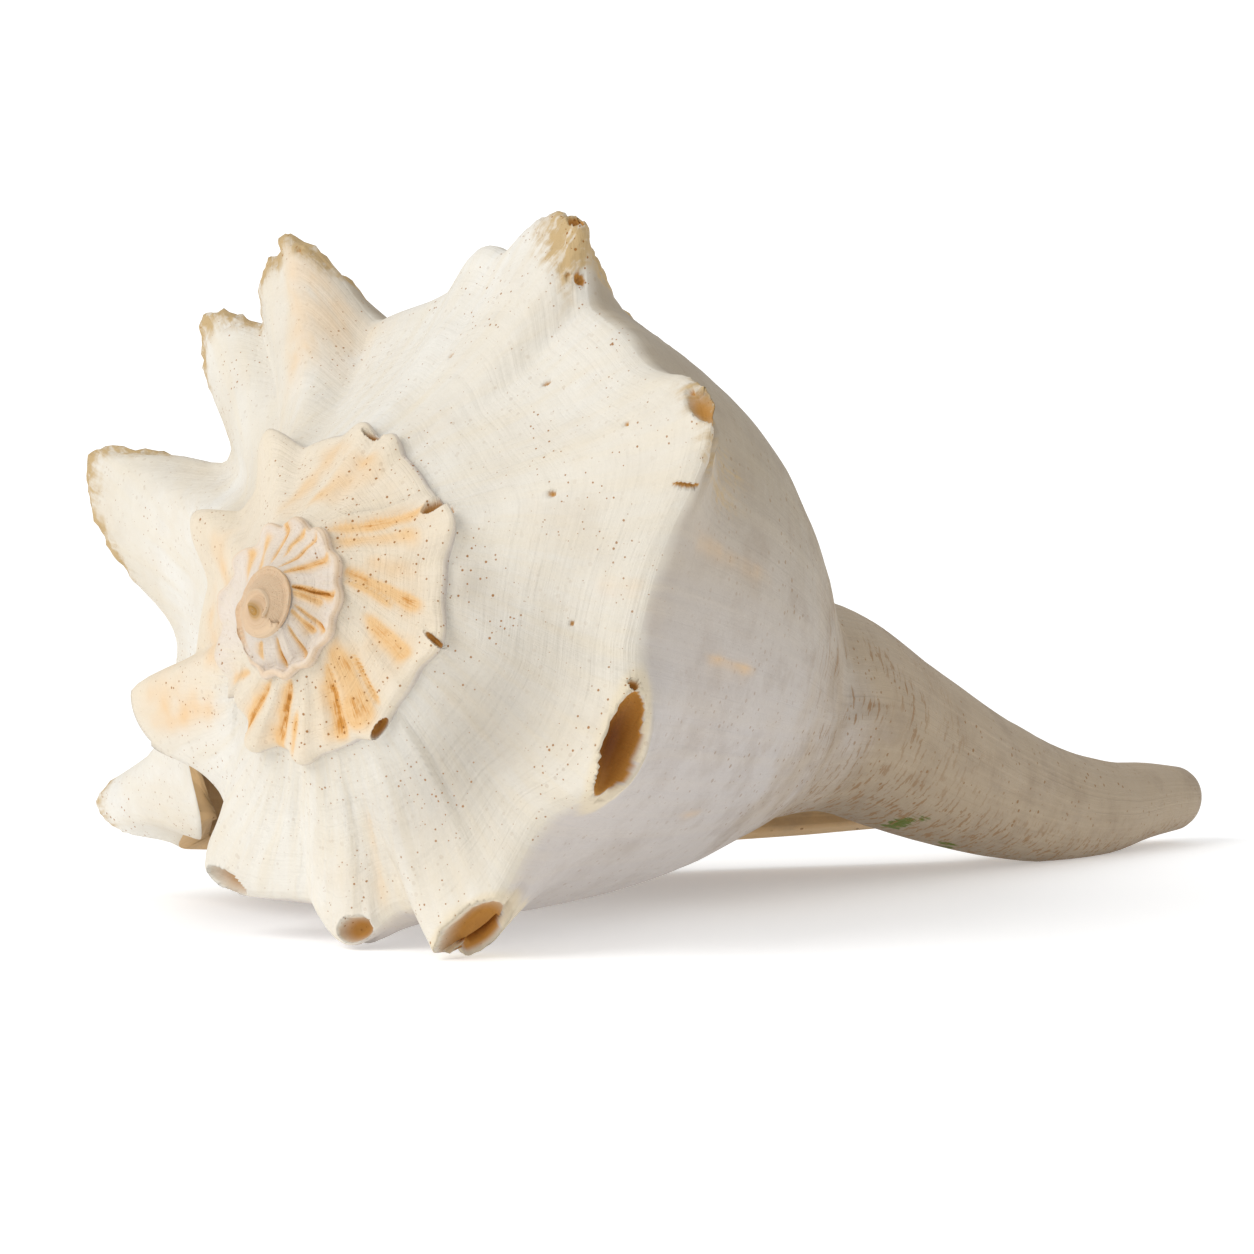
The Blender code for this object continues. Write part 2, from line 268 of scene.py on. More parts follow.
@dataclass(frozen=True)
class Patch:
    """A soft-edged area of the skin.

    Args:
        angle: Whorl angle of its middle, in degrees.
        reach: Half-width along the growth, in degrees.
        share: Share of the way out of its middle.
        width: Half-width of the share.
        strength: Amount at its middle.
    """

    angle: float
    reach: float
    share: float
    width: float
    strength: float = 1.0

    def amount(self, theta: np.ndarray, share: np.ndarray) -> np.ndarray:
        """How much of the patch there is at each vertex."""
        return self.strength * hill(theta, self.angle, self.reach) * hill(share, self.share, self.width)


@dataclass(frozen=True)
class Growth:
    """The form of the shell as a spiral surface, in mm and degrees, apex up."""

    rate: float = 0.1222
    keel_radius: float = 42.25
    keel_drop: float = 25.26
    start: float = -1160.0
    lip: float = 158.0
    line_lag: float = 15.0
    early_lag: float = 28.0
    lag_change: tuple[float, float] = (-245.0, -170.0)
    suture_drop: float = 2.2
    suture_inset: float = 0.985
    ramp_hollow: float = 1.1
    spine_lift: float = 0.3
    spine_reach: float = 16.0
    spine_start: float = 0.1
    spine_rise: float = 1.3
    flank: Knots = Knots((
        (-205.0, 0.85, 1.8), (-185.0, 1.0, 1.2), (-165.0, 1.0, 1.2), (-140.0, 0.9, 1.6), (-120.0, 0.9, 1.8),
        (-105.0, 1.0, 1.3), (-64.0, 0.95, 1.5), (-17.0, 0.8, 2.4), (21.0, 0.85, 3.4), (60.0, 0.85, 3.2),
        (125.0, 0.85, 1.6), (146.0, 1.0, 1.0), (158.0, 1.0, 1.0),
    ))
    suture_share: float = 0.6
    suture_lift: float = 0.1
    body_power: float = 2.4
    body_fullness: float = 1.2
    tip_drop: float = 186.8
    tip_radius: float = 4.4
    taper: float = 0.102
    cap: float = 3.0
    tip_offset: float = 2.2
    tip_sharpness: float = 4.0
    sway_angle: float = -132.0
    lip_blend: float = 70.0
    drift: Knots = Knots((
        (-210.0, 0.0), (-145.0, 0.0), (-117.0, -0.4), (-85.0, -2.0), (-45.0, -2.7), (-30.0, -1.1),
        (0.0, 1.8), (14.0, 0.3), (40.0, -1.8), (57.0, -4.9), (85.0, -4.6), (101.0, -2.5), (133.0, -3.9),
        (143.0, -5.5), (152.0, -3.6), (165.0, -6.4),
    ))
    spines: tuple[Spine, ...] = tuple(Spine(*row) for row in (
        (-17.5, 10.0, 22.0, 22.0, 1.6), (-66.0, 6.0, 17.0, 19.0, 0.7), (-110.0, 7.6, 8.5, 26.0, 0.8),
        (-133.0, 4.15, 15.0, 11.0, 0.8), (-172.0, 5.8, 9.0, 30.0, 0.9), (-213.5, 8.5, 7.0, 30.0, 0.9),
        (21.5, 8.6, 7.5, 24.0, 1.0), (40.5, 3.6, 13.0, 9.0, 0.9), (75.2, 15.8, 8.0, 9.0, 0.9),
        (79.0, 14.8, 8.0, 12.5, 0.8), (91.0, 15.2, 10.0, 11.5, 0.8), (112.0, 19.4, 8.0, 20.0, 1.0),
        (148.0, 11.2, 3.8, 11.0, 0.75),
    ))
    knobs: tuple[tuple[float, float, float], ...] = (
        (-252.8, 0.22, 16.0), (-283.5, 0.19, 16.0), (-320.0, 0.08, 12.0), (-334.0, 0.08, 10.0),
        (-375.7, 0.17, 18.0), (-414.0, 0.15, 18.0), (-453.7, 0.10, 15.0), (-492.0, 0.09, 15.0),
        (-520.4, 0.16, 16.0),
    )
    knob_skew: float = 0.6
    early_step: float = 27.0
    early_height: float = 0.10
    early_end: float = -545.0
    smooth_end: float = -900.0
    waist: Knots = Knots((
        (-202.0, 72.0, 0.42), (-130.0, 85.0, 0.95), (-50.0, 86.0, 1.0), (30.0, 93.0, 1.04),
        (100.0, 110.0, 1.08), (158.0, 138.0, 1.08),
    ))
    sway: Knots = Knots((
        (0.0, 0.0), (78.0, 0.0), (99.0, -2.1), (113.0, 0.0), (124.0, 1.8), (138.0, 3.4),
        (150.0, 4.0), (164.0, 2.9), (176.0, 0.4), (187.0, -1.4),
    ))
    lip_advance: Knots = Knots((
        (0.0, 0.0), (20.0, 0.0), (29.0, 3.2), (36.0, 2.0), (44.0, 1.2), (78.0, 7.6), (110.0, 6.0),
        (135.0, 4.0), (187.0, 10.0),
    ))
    lip_flare: Knots = Knots(((0.0, 0.0), (19.5, 0.0), (23.0, 8.5), (27.0, 7.0), (33.0, 0.0), (187.0, 0.0)))
    flare_start: float = 12.0

    @property
    def body_start(self) -> float:
        """Whorl angle where the last whorl begins."""
        return self.lip - TURN

    def scale(self, theta: np.ndarray) -> np.ndarray:
        """Size of the whorl over its size at whorl angle zero."""
        return np.exp(self.rate * np.radians(theta))

    def keel(self, theta: np.ndarray) -> tuple[np.ndarray, np.ndarray]:
        """Radius and drop of the smooth keel line, before spines.

        Args:
            theta: Whorl angles, in degrees.

        Returns:
            Radii and drops, in mm.
        """
        drift = self.drift.at(theta)
        size = self.scale(theta)
        return self.keel_radius * size + drift, self.keel_drop * size - self.spine_lift * drift

    def spine_height(self, theta: np.ndarray) -> np.ndarray:
        """How far the spines and knobs push the keel out, in mm.

        Args:
            theta: Whorl angles, in degrees.

        Returns:
            Heights above the keel.
        """
        height = np.zeros_like(theta)
        for spine in self.spines:
            height = np.maximum(height, spine.lift(theta))
        radius = self.keel_radius * self.scale(theta)
        for angle, share, reach in self.knobs:
            knob = Spine(angle, share, self.knob_skew * reach, reach, 1.0)
            height = np.maximum(height, radius * knob.lift(theta))
        early = (theta > self.smooth_end) & (theta < self.early_end)
        fade = ramp(theta, self.smooth_end, self.smooth_end + self.early_step)
        wave = 0.5 + 0.5 * np.cos(2.0 * math.pi * theta / self.early_step)
        return np.maximum(height, np.where(early, fade * self.early_height * radius * wave, 0.0))

    def profile(self, theta: np.ndarray, drop: np.ndarray) -> np.ndarray:
        """Radius of the body or canal at a drop below the keel.

        Args:
            theta: Whorl angles, in degrees.
            drop: Drops below the apex, in mm.

        Returns:
            The radii, in mm.
        """
        radius, keel_drop = self.keel(theta)
        waist_girth = self.waist.at(theta)
        waist, girth = waist_girth[..., 0], waist_girth[..., 1]
        inner = np.minimum(1.0, self.scale(theta) / self.scale(np.array(self.body_start)))
        waist = waist * inner
        canal = girth * inner * (self.tip_radius + (self.tip_drop - drop) * self.taper)
        top = girth * inner * (self.tip_radius + (self.tip_drop - keel_drop) * self.taper)
        u = np.clip((drop - keel_drop) / (waist - keel_drop), 0.0, 1.0)
        return canal + (radius - top) * (1.0 - u ** self.body_power) ** self.body_fullness

    def attach(self, theta: np.ndarray) -> tuple[np.ndarray, np.ndarray]:
        """Where the next whorl is fixed, just below the keel: radius and drop.

        Args:
            theta: Whorl angles, in degrees.

        Returns:
            Radii and drops, in mm.
        """
        radius, drop = self.keel(theta)
        height = self.spine_height(theta)
        radius = self.suture_inset * radius + self.suture_share * height
        return radius, drop + self.suture_drop * self.scale(theta) - self.suture_lift * height

    def ramp_point(self, theta: np.ndarray, u: np.ndarray) -> tuple[np.ndarray, np.ndarray]:
        """Radius and drop on the ramp, u = 0 at the suture and 1 at the keel.

        Args:
            theta: Whorl angles, in degrees.
            u: Shares of the way out.

        Returns:
            Radii and drops, in mm.
        """
        suture_radius, suture_drop = self.attach(theta - TURN)
        radius, drop = self.keel(theta)
        share = np.maximum(0.0, (u - self.spine_start) / (1.0 - self.spine_start))
        height = self.spine_height(theta) * share ** self.spine_rise
        radius = suture_radius + (radius - suture_radius) * u + height
        drop = suture_drop + (drop - suture_drop) * u - self.spine_lift * height
        return radius, drop + self.ramp_hollow * self.scale(theta) * np.sin(math.pi * u)

    def body_point(self, theta: np.ndarray, drop: np.ndarray) -> tuple[np.ndarray, np.ndarray]:
        """Radius and drop on the body and canal.

        Args:
            theta: Whorl angles, in degrees.
            drop: Drops below the apex, in mm.

        Returns:
            Radii and drops, in mm.
        """
        keel_drop = self.keel(theta)[1]
        fall = np.maximum(0.0, 1.0 - (drop - keel_drop) / (self.spine_reach * self.scale(theta)))
        radius = self.profile(theta, drop)
        flank = self.flank.at(theta)
        radius = radius + flank[..., 0] * self.spine_height(theta) * fall ** flank[..., 1]
        cap = np.maximum(0.0, (drop - self.tip_drop + self.cap) / self.cap)
        return radius * np.sqrt(np.maximum(0.0, 1.0 - cap * cap)), drop

    def line(self, theta: np.ndarray, share: np.ndarray) -> np.ndarray:
        """Whorl angle at which the growth line through each place leaves the suture.

        Args:
            theta: Whorl angles.
            share: Shares of the way out.

        Returns:
            Angles in degrees; a growth line lags behind on its way out.
        """
        lag = self.line_lag + (self.early_lag - self.line_lag) * (1.0 - ramp(theta, *self.lag_change))
        inward = 1.0 - np.clip(share, 0.0, 1.0)
        return theta + lag * (1.0 - inward * inward)

    def point(self, angle: float, share: float) -> np.ndarray:
        """One point of the skin by whorl angle and share of the way out, in mm.

        Args:
            angle: Whorl angle, in degrees.
            share: Share of the way out.

        Returns:
            The point.
        """
        at = np.array([angle])
        radius, drop = self.ramp_point(at, np.minimum(share, 1.0))
        if share > 1.0:
            edge_radius, edge_drop = self.attach(at)
            down = edge_drop + max(0.0, share - EDGE) * (self.tip_drop - edge_drop)
            step = min(1.0, (share - 1.0) / (EDGE - 1.0))
            flank = radius + (edge_radius - radius) * step, drop + (edge_drop - drop) * step
            radius, drop = self.body_point(at, down) if share > EDGE else flank
        return self.place(at, radius, drop)[0]

    def place(self, theta: np.ndarray, radius: np.ndarray, drop: np.ndarray) -> np.ndarray:
        """Turn whorl angle, radius and drop into points.

        Args:
            theta: Whorl angles, in degrees.
            radius: Distances from the axis, in mm.
            drop: Drops below the apex, in mm.

        Returns:
            Points, apex up, in mm, with x, y and z on the last axis.
        """
        blend = ramp(theta, self.lip - self.lip_blend, self.lip)
        flare = ramp(theta, self.lip - self.flare_start, self.lip)
        angle = np.radians(theta + blend * self.lip_advance.at(drop) + flare * self.lip_flare.at(drop))
        sway = self.sway.at(drop)
        side, lip = math.radians(self.sway_angle), math.radians(self.lip)
        end = np.maximum(0.0, (drop - self.tip_drop + self.cap) / self.cap) ** self.tip_sharpness
        x, y = (radius * part(angle) + sway * part(side) + self.tip_offset * end * part(lip)
                for part in (np.cos, np.sin))
        return np.stack([x, y, -drop], axis=-1)


@dataclass
class Sheet:
    """A grid of the surface, ready to be modelled: corner positions and growth coordinates."""

    points: np.ndarray
    chart: np.ndarray

    def add_to(self, bm: bmesh.types.BMesh) -> None:
        """Add the sheet to a mesh as a warped grid, with its growth coordinates as a UV map.

        Args:
            bm: The mesh being modelled; it is changed.
        """
        columns, rows = self.points.shape[:2]
        made = bmesh.ops.create_grid(bm, x_segments=columns - 1, y_segments=rows - 1, size=1.0)
        chart_map = bm.loops.layers.uv.get("growth") or bm.loops.layers.uv.new("growth")
        cells = {}
        for vert in made["verts"]:
            column = round((vert.co.x + 1.0) / 2.0 * (columns - 1))
            row = round((vert.co.y + 1.0) / 2.0 * (rows - 1))
            cells[vert] = (column, row)
            vert.co = Vector(self.points[column, row] * MM)
        for face in {face for vert in made["verts"] for face in vert.link_faces}:
            for loop in face.loops:
                loop[chart_map].uv = self.chart[cells[loop.vert]]


@dataclass
class WhelkShell:
    """The whole shell: one skin from the nucleus to the canal's tip, and the hollow behind the lip."""

    growth: Growth = field(default_factory=Growth)
    # Columns to a turn, and rows across each part of the section.
    columns: int = 360
    ramp_rows: int = 24
    flank_rows: int = 3
    body_rows: int = 80
    body_spacing: float = 1.3
    cap_rows: int = 5
    # The nucleus, the knob on it and the dome over the first whorls.
    nucleus_rings: int = 16
    cap_rise: float = 0.6
    nucleus_rise: float = 1.0
    nucleus_radius: float = 0.85
    nucleus_before: float = 0.3
    nucleus_shrink: float = 0.97
    nucleus_evening: float = 2.2
    knob_angle: float = 60.0
    knob_offset: float = 0.7
    dome_start: float = -1000.0
    dome_end: float = -850.0
    dome_top: float = 0.7
    dome_curve: float = 0.108
    # Wall of the hollow, and how far the hollow runs back.
    wall: float = 2.6
    ramp_wall: float = 3.38
    keel_wall: float = 4.94
    callus: float = 1.6
    thin_wall: float = 0.24
    thin_callus: float = 0.08
    canal_floor: float = 5.0
    canal_turn: float = 110.0
    hollow_turn: float = 300.0
    hollow_step: float = 12.0
    behind_lip: tuple[float, ...] = (
        0.9, 2.2, 4.0, 6.5, 10.0, 14.0, 19.0, 25.0, 32.0, 40.0, 49.0, 59.0, 70.0,
    )
    # How the shell lies: turns in degrees, then a shift in metres.
    roll: float = 42.4
    pitch: float = 79.8
    rest_shift: tuple[float, float, float] = (-0.0917094, -0.0110530, 0.0378663)
    # Where the skin is cut finer: worn spines first, then the pits.
    fine_lift: float = 3.0
    fine_from: float = -200.0
    fine_share: float = 0.93
    fine_reach: float = 0.11
    fine_margins: tuple[float, ...] = (1.3, 0.45)
    long_pit: float = 3.0
    # Wear of the edge of the keel, less on the spines.
    keel_rounding: float = 2.7
    keel_pull: float = 0.8
    keel_rounds: int = 6
    spine_edge: float = 0.75
    spire_edge: float = 0.35
    start_fade: float = 12.0
    # Open hollows of worn spines and knobs, and single borings.
    pits: tuple[Pit, ...] = tuple(Pit(*row) for row in (
        (-64.8, 1.003, 6.6, 2.2, 5.0, 0.0, -10.0, 0.3, 1.0),
        (-105.0, 1.0, 5.0, 2.4, 4.4, 0.0, -35.0, 0.3, 0.55),
        (-130.5, 0.88, 2.1, 1.4, 1.9, 0.0, -25.0, 0.3, 0.5),
        (-166.0, 0.9, 3.3, 1.2, 1.8, 0.0, -30.0, 0.3, 0.35),
        (-16.7, 0.975, 2.6, 1.5, 1.6, 25.0, -15.0, 0.35, 0.4), (-13.5, 0.93, 0.4, 0.3, 0.6),
        (-53.9, 0.953, 0.6, 0.6, 1.2, 0.0, 0.0, 0.15, 0.7),
        (-25.3, 0.958, 2.4, 0.28, 0.5, 78.0, 0.0, 0.0, 0.6),
        (21.0, 0.96, 1.1, 0.8, 1.0, 20.0, 0.0, 0.2, 0.8),
        (17.0, 0.94, 0.7, 0.6, 0.8, 0.0, 0.0, 0.1, 0.8), (18.5, 0.86, 0.4, 0.3, 0.5),
        (76.5, 0.95, 0.45, 0.35, 0.5), (73.5, 0.9, 0.35, 0.35, 0.5),
        (-17.4, 0.377, 0.65, 0.4, 0.5, 50.0), (8.2, 0.603, 0.6, 0.35, 0.5, 60.0),
        (33.1, 0.433, 0.5, 0.35, 0.45, 30.0), (-12.0, 0.7, 0.4, 0.3, 0.4), (-44.0, 0.6, 0.35, 0.3, 0.4),
        (-367.2, 0.92, 1.9, 1.2, 1.8, 65.0, 0.0, 0.35, 0.9),
        (-325.0, 0.97, 1.7, 0.35, 0.8, 0.0, -10.0, 0.25, 0.6),
        (-413.0, 0.9, 1.5, 0.35, 0.8, 60.0, 0.0, 0.2, 0.6),
        (-450.0, 0.97, 1.4, 0.6, 1.2, 0.0, 0.0, 0.2, 0.7),
    ))
    # Marks and ribs that the growing edge left.
    streaks: tuple[Streak, ...] = tuple(Streak(*row) for row in (
        (-602.0, 4.0, 0.3, 0.9, 0.5, -0.15), (-622.0, 5.0, 0.2, 0.8, 0.35, -0.1),
        (-641.0, 2.2, 0.25, 0.95, 0.75, -0.25), (-657.0, 1.9, 0.3, 0.9, 0.7, -0.2),
        (-673.0, 2.0, 0.1, 0.85, 0.9, -0.3), (-692.0, 3.4, 0.0, 0.85, 0.8, -0.3),
        (-725.0, 2.4, 0.0, 0.85, 1.25, -0.4), (-735.0, 7.0, 0.0, 0.5, 0.45, 0.0),
        (-754.0, 2.0, 0.1, 0.8, 0.9, -0.3), (-764.0, 4.0, 0.0, 0.5, 0.7, -0.2),
        (-786.0, 2.0, 0.1, 0.75, 0.8, -0.3), (-814.0, 2.4, 0.1, 0.65, 0.8, -0.3),
        (-848.0, 5.0, 0.1, 0.6, 0.6, -0.2), (-708.0, 5.0, 0.1, 0.8, 0.0, 0.25),
        (-740.0, 4.0, 0.1, 0.8, 0.0, 0.2), (-800.0, 5.0, 0.1, 0.7, 0.0, 0.25),
        (-331.0, 2.6, 0.0, 0.98, 0.0, 0.6), (-337.5, 4.0, 0.0, 0.85, 0.5, -0.2),
        (-347.0, 7.0, 0.0, 0.7, 0.32, -0.2), (-362.0, 9.0, 0.2, 0.8, 0.22, -0.1),
        (-373.5, 4.5, 0.0, 0.75, 0.62, -0.1), (-380.0, 3.0, 0.0, 0.5, 0.5, 0.15),
        (-394.0, 6.0, 0.25, 0.8, 0.55, -0.1), (-405.0, 5.0, 0.3, 0.95, 0.0, 0.35),
        (-424.0, 10.0, 0.05, 0.85, 0.62, 0.1), (-416.0, 1.6, 0.3, 0.8, 0.8, -0.2),
        (-438.0, 4.2, 0.15, 0.9, 0.9, -0.35), (88.0, 7.0, 0.35, 0.95, 0.2),
        (-447.0, 4.0, 0.2, 1.0, 0.0, 0.3), (-459.5, 5.0, 0.1, 1.0, 0.1, 0.4),
        (-466.0, 2.0, 0.4, 0.9, 0.55, -0.1), (-475.5, 3.0, 0.05, 0.95, 1.0, -0.4),
        (-487.5, 4.5, 0.1, 1.0, 0.0, 0.4), (-497.5, 3.0, 0.1, 0.95, 0.9, -0.35),
        (-510.0, 4.5, 0.1, 1.0, 0.0, 0.3), (-522.0, 4.0, 0.2, 0.8, 0.4, -0.2),
        (-301.0, 12.0, 0.2, 0.8, 0.28), (-280.0, 12.0, 0.1, 0.9, 0.22), (-225.0, 9.0, 0.2, 0.7, 0.22),
        (-203.0, 10.0, 0.1, 0.8, 0.2), (-185.0, 8.0, 0.3, 0.9, 0.25), (-22.0, 3.0, 0.65, 0.95, 0.12),
        (-31.0, 1.6, 1.085, 1.155, 0.26), (-13.5, 2.6, 1.03, 1.15, 0.16),
        (-64.5, 1.6, 1.15, 1.175, 0.2), (-84.0, 2.2, 0.0, 0.85, 0.0, 0.35),
        (-99.0, 2.4, 0.0, 0.9, 0.0, 0.3), (-109.0, 1.8, 0.3, 0.95, 0.15, -0.3),
        (-116.0, 3.0, 0.0, 0.9, 0.0, 0.3), (-128.0, 3.5, 0.1, 1.0, 0.0, 0.3),
        (-140.0, 3.0, 0.0, 0.9, 0.0, 0.25),
    ))

    def row_drops(self, start: np.ndarray, end: np.ndarray) -> np.ndarray:
        """Drops of the body rows.

        Args:
            start: Drop of the first row at each whorl angle, in mm.
            end: Drop of the closed end at each whorl angle, in mm.

        Returns:
            Drops with one row per whorl angle.
        """
        side = self.body_rows - self.cap_rows
        t = (np.arange(side + 1) / side) ** self.body_spacing
        last = (end - self.growth.cap)[:, None]
        sides = start[:, None] + (last - start[:, None]) * t[None, :]
        s = np.sin(np.arange(1, self.cap_rows + 1) / self.cap_rows * math.pi / 2.0)
        caps = last + self.growth.cap * s[None, :]
        return np.concatenate([sides, caps], axis=1)

    def outer(self, theta: np.ndarray, with_body: bool) -> Sheet:
        """The outer skin over a run of whorl angles.

        Args:
            theta: Whorl angles of the columns.
            with_body: True to go on past the flank down to the canal's tip.

        Returns:
            The sheet, from the suture outward and down.
        """
        form = self.growth
        u = np.arange(self.ramp_rows + 1) / self.ramp_rows
        grid, share = np.meshgrid(theta, u, indexing="ij")
        radius, drop = form.ramp_point(grid, share)
        edge_radius, edge_drop = form.attach(theta)
        t = np.arange(1, self.flank_rows + 1)[None, :] / self.flank_rows
        radii = [radius, radius[:, -1:] + (edge_radius[:, None] - radius[:, -1:]) * t]
        drops = [drop, drop[:, -1:] + (edge_drop[:, None] - drop[:, -1:]) * t]
        charts = [share, 1.0 + (EDGE - 1.0) * np.broadcast_to(t, drops[1].shape)]
        if with_body:
            rows = self.row_drops(edge_drop, np.full_like(theta, form.tip_drop))[:, 1:]
            radii.append(form.body_point(np.broadcast_to(theta[:, None], rows.shape), rows)[0])
            drops.append(rows)
            charts.append(EDGE + (rows - edge_drop[:, None]) / (form.tip_drop - edge_drop[:, None]))
        radius, drop, chart = (np.concatenate(parts, axis=1) for parts in (radii, drops, charts))
        radius, drop = self.round_keel(theta, radius, drop)
        angle = np.broadcast_to(theta[:, None], drop.shape)
        back = TURN * (1.0 - np.minimum(chart, 1.0))
        smooth = 1.0 - ramp(angle - back, self.dome_start, self.dome_end)
        drop = drop + smooth * (self.dome_top + self.dome_curve * radius * radius - drop)
        turns = angle / TURN + TURNS_AT_ZERO
        return Sheet(form.place(angle, radius, drop), np.stack([turns, chart], axis=-1))

    def round_keel(self, theta: np.ndarray, radius: np.ndarray,
                   drop: np.ndarray) -> tuple[np.ndarray, np.ndarray]:
        """Wear the keel's edge round, by smoothing each column across it.

        Args:
            theta: Whorl angles of the columns.
            radius: Radii, one row per whorl angle.
            drop: Drops, one row per whorl angle.

        Returns:
            The smoothed radii and drops.
        """
        edge = self.ramp_rows
        size = self.growth.scale(theta)[:, None]
        length = np.hypot(radius - radius[:, edge:edge + 1], drop - drop[:, edge:edge + 1])
        pull = np.exp(-((length / (self.keel_rounding * size)) ** 2))
        pull = pull * (1.0 - self.spine_edge * ramp(self.growth.spine_height(theta), 2.0, 7.0))[:, None]
        pull[:, 0] = 0.0
        pull[:, -1] = 0.0
        if radius.shape[1] > edge + self.flank_rows + 1:
            start = self.growth.body_start
            fixed = ramp(-theta, -(start + self.start_fade), -start)[:, None]
            pull = pull * (1.0 - fixed)
        else:
            pull = pull * self.spire_edge
            pull[:, edge + 1:] = 0.0
        for _ in range(self.keel_rounds):
            for values in (radius, drop):
                middle = 0.5 * (values[:, :-2] + values[:, 2:])
                values[:, 1:-1] += self.keel_pull * pull[:, 1:-1] * (middle - values[:, 1:-1])
        return radius, drop

    def hollow_ring(self, theta: float) -> np.ndarray:
        """One closed ring of the hollow: along the ramp, down the outer wall and up the columella.

        Args:
            theta: Whorl angle of the ring.

        Returns:
            Ring points as whorl angle, radius and drop.
        """
        form = self.growth
        at = np.array([theta])
        suture_radius, suture_drop = (value[0] for value in form.attach(at - TURN))
        radius, drop = (value[0] for value in form.keel(at))
        u = np.arange(self.ramp_rows + 1) / self.ramp_rows
        near = suture_radius + self.callus
        roof = suture_drop + (drop - suture_drop) * u
        roof = roof + form.ramp_hollow * form.scale(at) * np.sin(math.pi * u) + self.ramp_wall
        roof_radius = near + (radius - self.wall - near) * u
        waist = form.waist.at(at)[0, 0]
        opening = ramp(at, form.lip - self.canal_turn, form.lip)[0]
        floor = np.array([waist + (form.tip_drop - self.canal_floor - waist) * opening])
        outer = self.row_drops(np.array([drop + self.keel_wall]), floor)[0]
        lead = np.linspace(roof[-1], outer[0], self.flank_rows + 1)[1:-1]
        outer = np.concatenate([lead, outer])
        outside = form.profile(np.full_like(outer, theta), outer)
        skin = outside - np.minimum(self.wall, self.thin_wall * outside)
        inner = self.row_drops(np.array([suture_drop + self.keel_wall]), floor)[0][-2:0:-1]
        outside = form.profile(np.full_like(inner, theta), inner)
        column = form.profile(np.full_like(inner, theta - TURN), inner)
        column = column + np.minimum(self.callus, self.thin_callus * outside)
        parts = ((theta, roof_radius, roof), (theta, skin, outer), (theta - TURN, column, inner))
        ring = [np.stack([np.full_like(drops, turned), radii, drops]) for turned, radii, drops in parts]
        return np.concatenate(ring, axis=1).T

    def hollow(self, skin: Sheet) -> Sheet:
        """The hollow behind the lip, from the edge of the aperture inward.

        Args:
            skin: The outer skin of the last whorl.

        Returns:
            The sheet of closed rings.
        """
        form = self.growth
        edge = self.ramp_rows + self.flank_rows
        mouth = np.concatenate([skin.points[-1], skin.points[0, -2:edge:-1]])
        near = form.lip - np.array(self.behind_lip)
        far = np.arange(near[-1] - self.hollow_step, form.lip - self.hollow_turn, -self.hollow_step)
        rings = [mouth]
        for theta in np.concatenate([near, far]):
            ring = self.hollow_ring(float(theta))
            rings.append(form.place(ring[:, 0], ring[:, 1], ring[:, 2]))
        points = np.stack(rings)
        points = np.concatenate([points, points[:, :1]], axis=1)
        turns = np.concatenate([[form.lip], near, far]) / TURN + TURNS_AT_ZERO
        around = WITHIN + np.arange(points.shape[1]) / points.shape[1]
        chart = np.stack(np.meshgrid(turns, around, indexing="ij"), axis=-1)
        return Sheet(points, chart)

    def nucleus(self, spire: Sheet) -> Sheet:
        """The smooth first whorl that closes the apex.

        Args:
            spire: The skin of the early whorls, whose start is closed.

        Returns:
            The sheet of rings shrinking to the apex.
        """
        rim = np.concatenate([spire.points[0, ::-1], spire.points[1:self.columns + 1, 0]])
        rim[-1] = rim[0]
        middle = rim[:-1].mean(axis=0)
        across = rim - middle
        length = np.concatenate([[0.0], np.cumsum(np.linalg.norm(np.diff(rim, axis=0), axis=1))])
        way = np.sign(np.cross(across[:-1, :2], across[1:, :2]).sum())
        turned = math.atan2(across[0, 1], across[0, 0]) + way * 2.0 * math.pi * length / length[-1]
        girth = np.hypot(across[:, 0], across[:, 1]).mean()
        circle = middle + girth * np.stack([np.cos(turned), np.sin(turned), np.zeros_like(turned)], axis=1)
        knob = self.growth.place(np.array([self.knob_angle]), np.array([self.knob_offset]), np.zeros(1))[0]
        rings = []
        for ring in range(self.nucleus_rings + 1):
            t = ring / self.nucleus_rings
            shrink = 1.0 - self.nucleus_shrink * t
            even = float(ease(np.array(self.nucleus_evening * t)))
            points = middle + (rim + (circle - rim) * even - middle) * shrink
            points[:, 2] += self.cap_rise * (1.0 - shrink * shrink)
            reach = np.hypot(points[:, 0] - middle[0] - knob[0], points[:, 1] - middle[1] - knob[1])
            points[:, 2] += self.nucleus_rise * hill(reach, 0.0, self.nucleus_radius) * min(1.0, 3.0 * t)
            rings.append(points)
        points = np.stack(rings)
        start = self.growth.start / TURN + TURNS_AT_ZERO - self.nucleus_before
        turns = np.full(points.shape[:2], start)
        across = np.broadcast_to(np.linspace(1.0, 0.0, points.shape[0])[:, None], points.shape[:2])
        return Sheet(points, np.stack([turns, across], axis=-1))

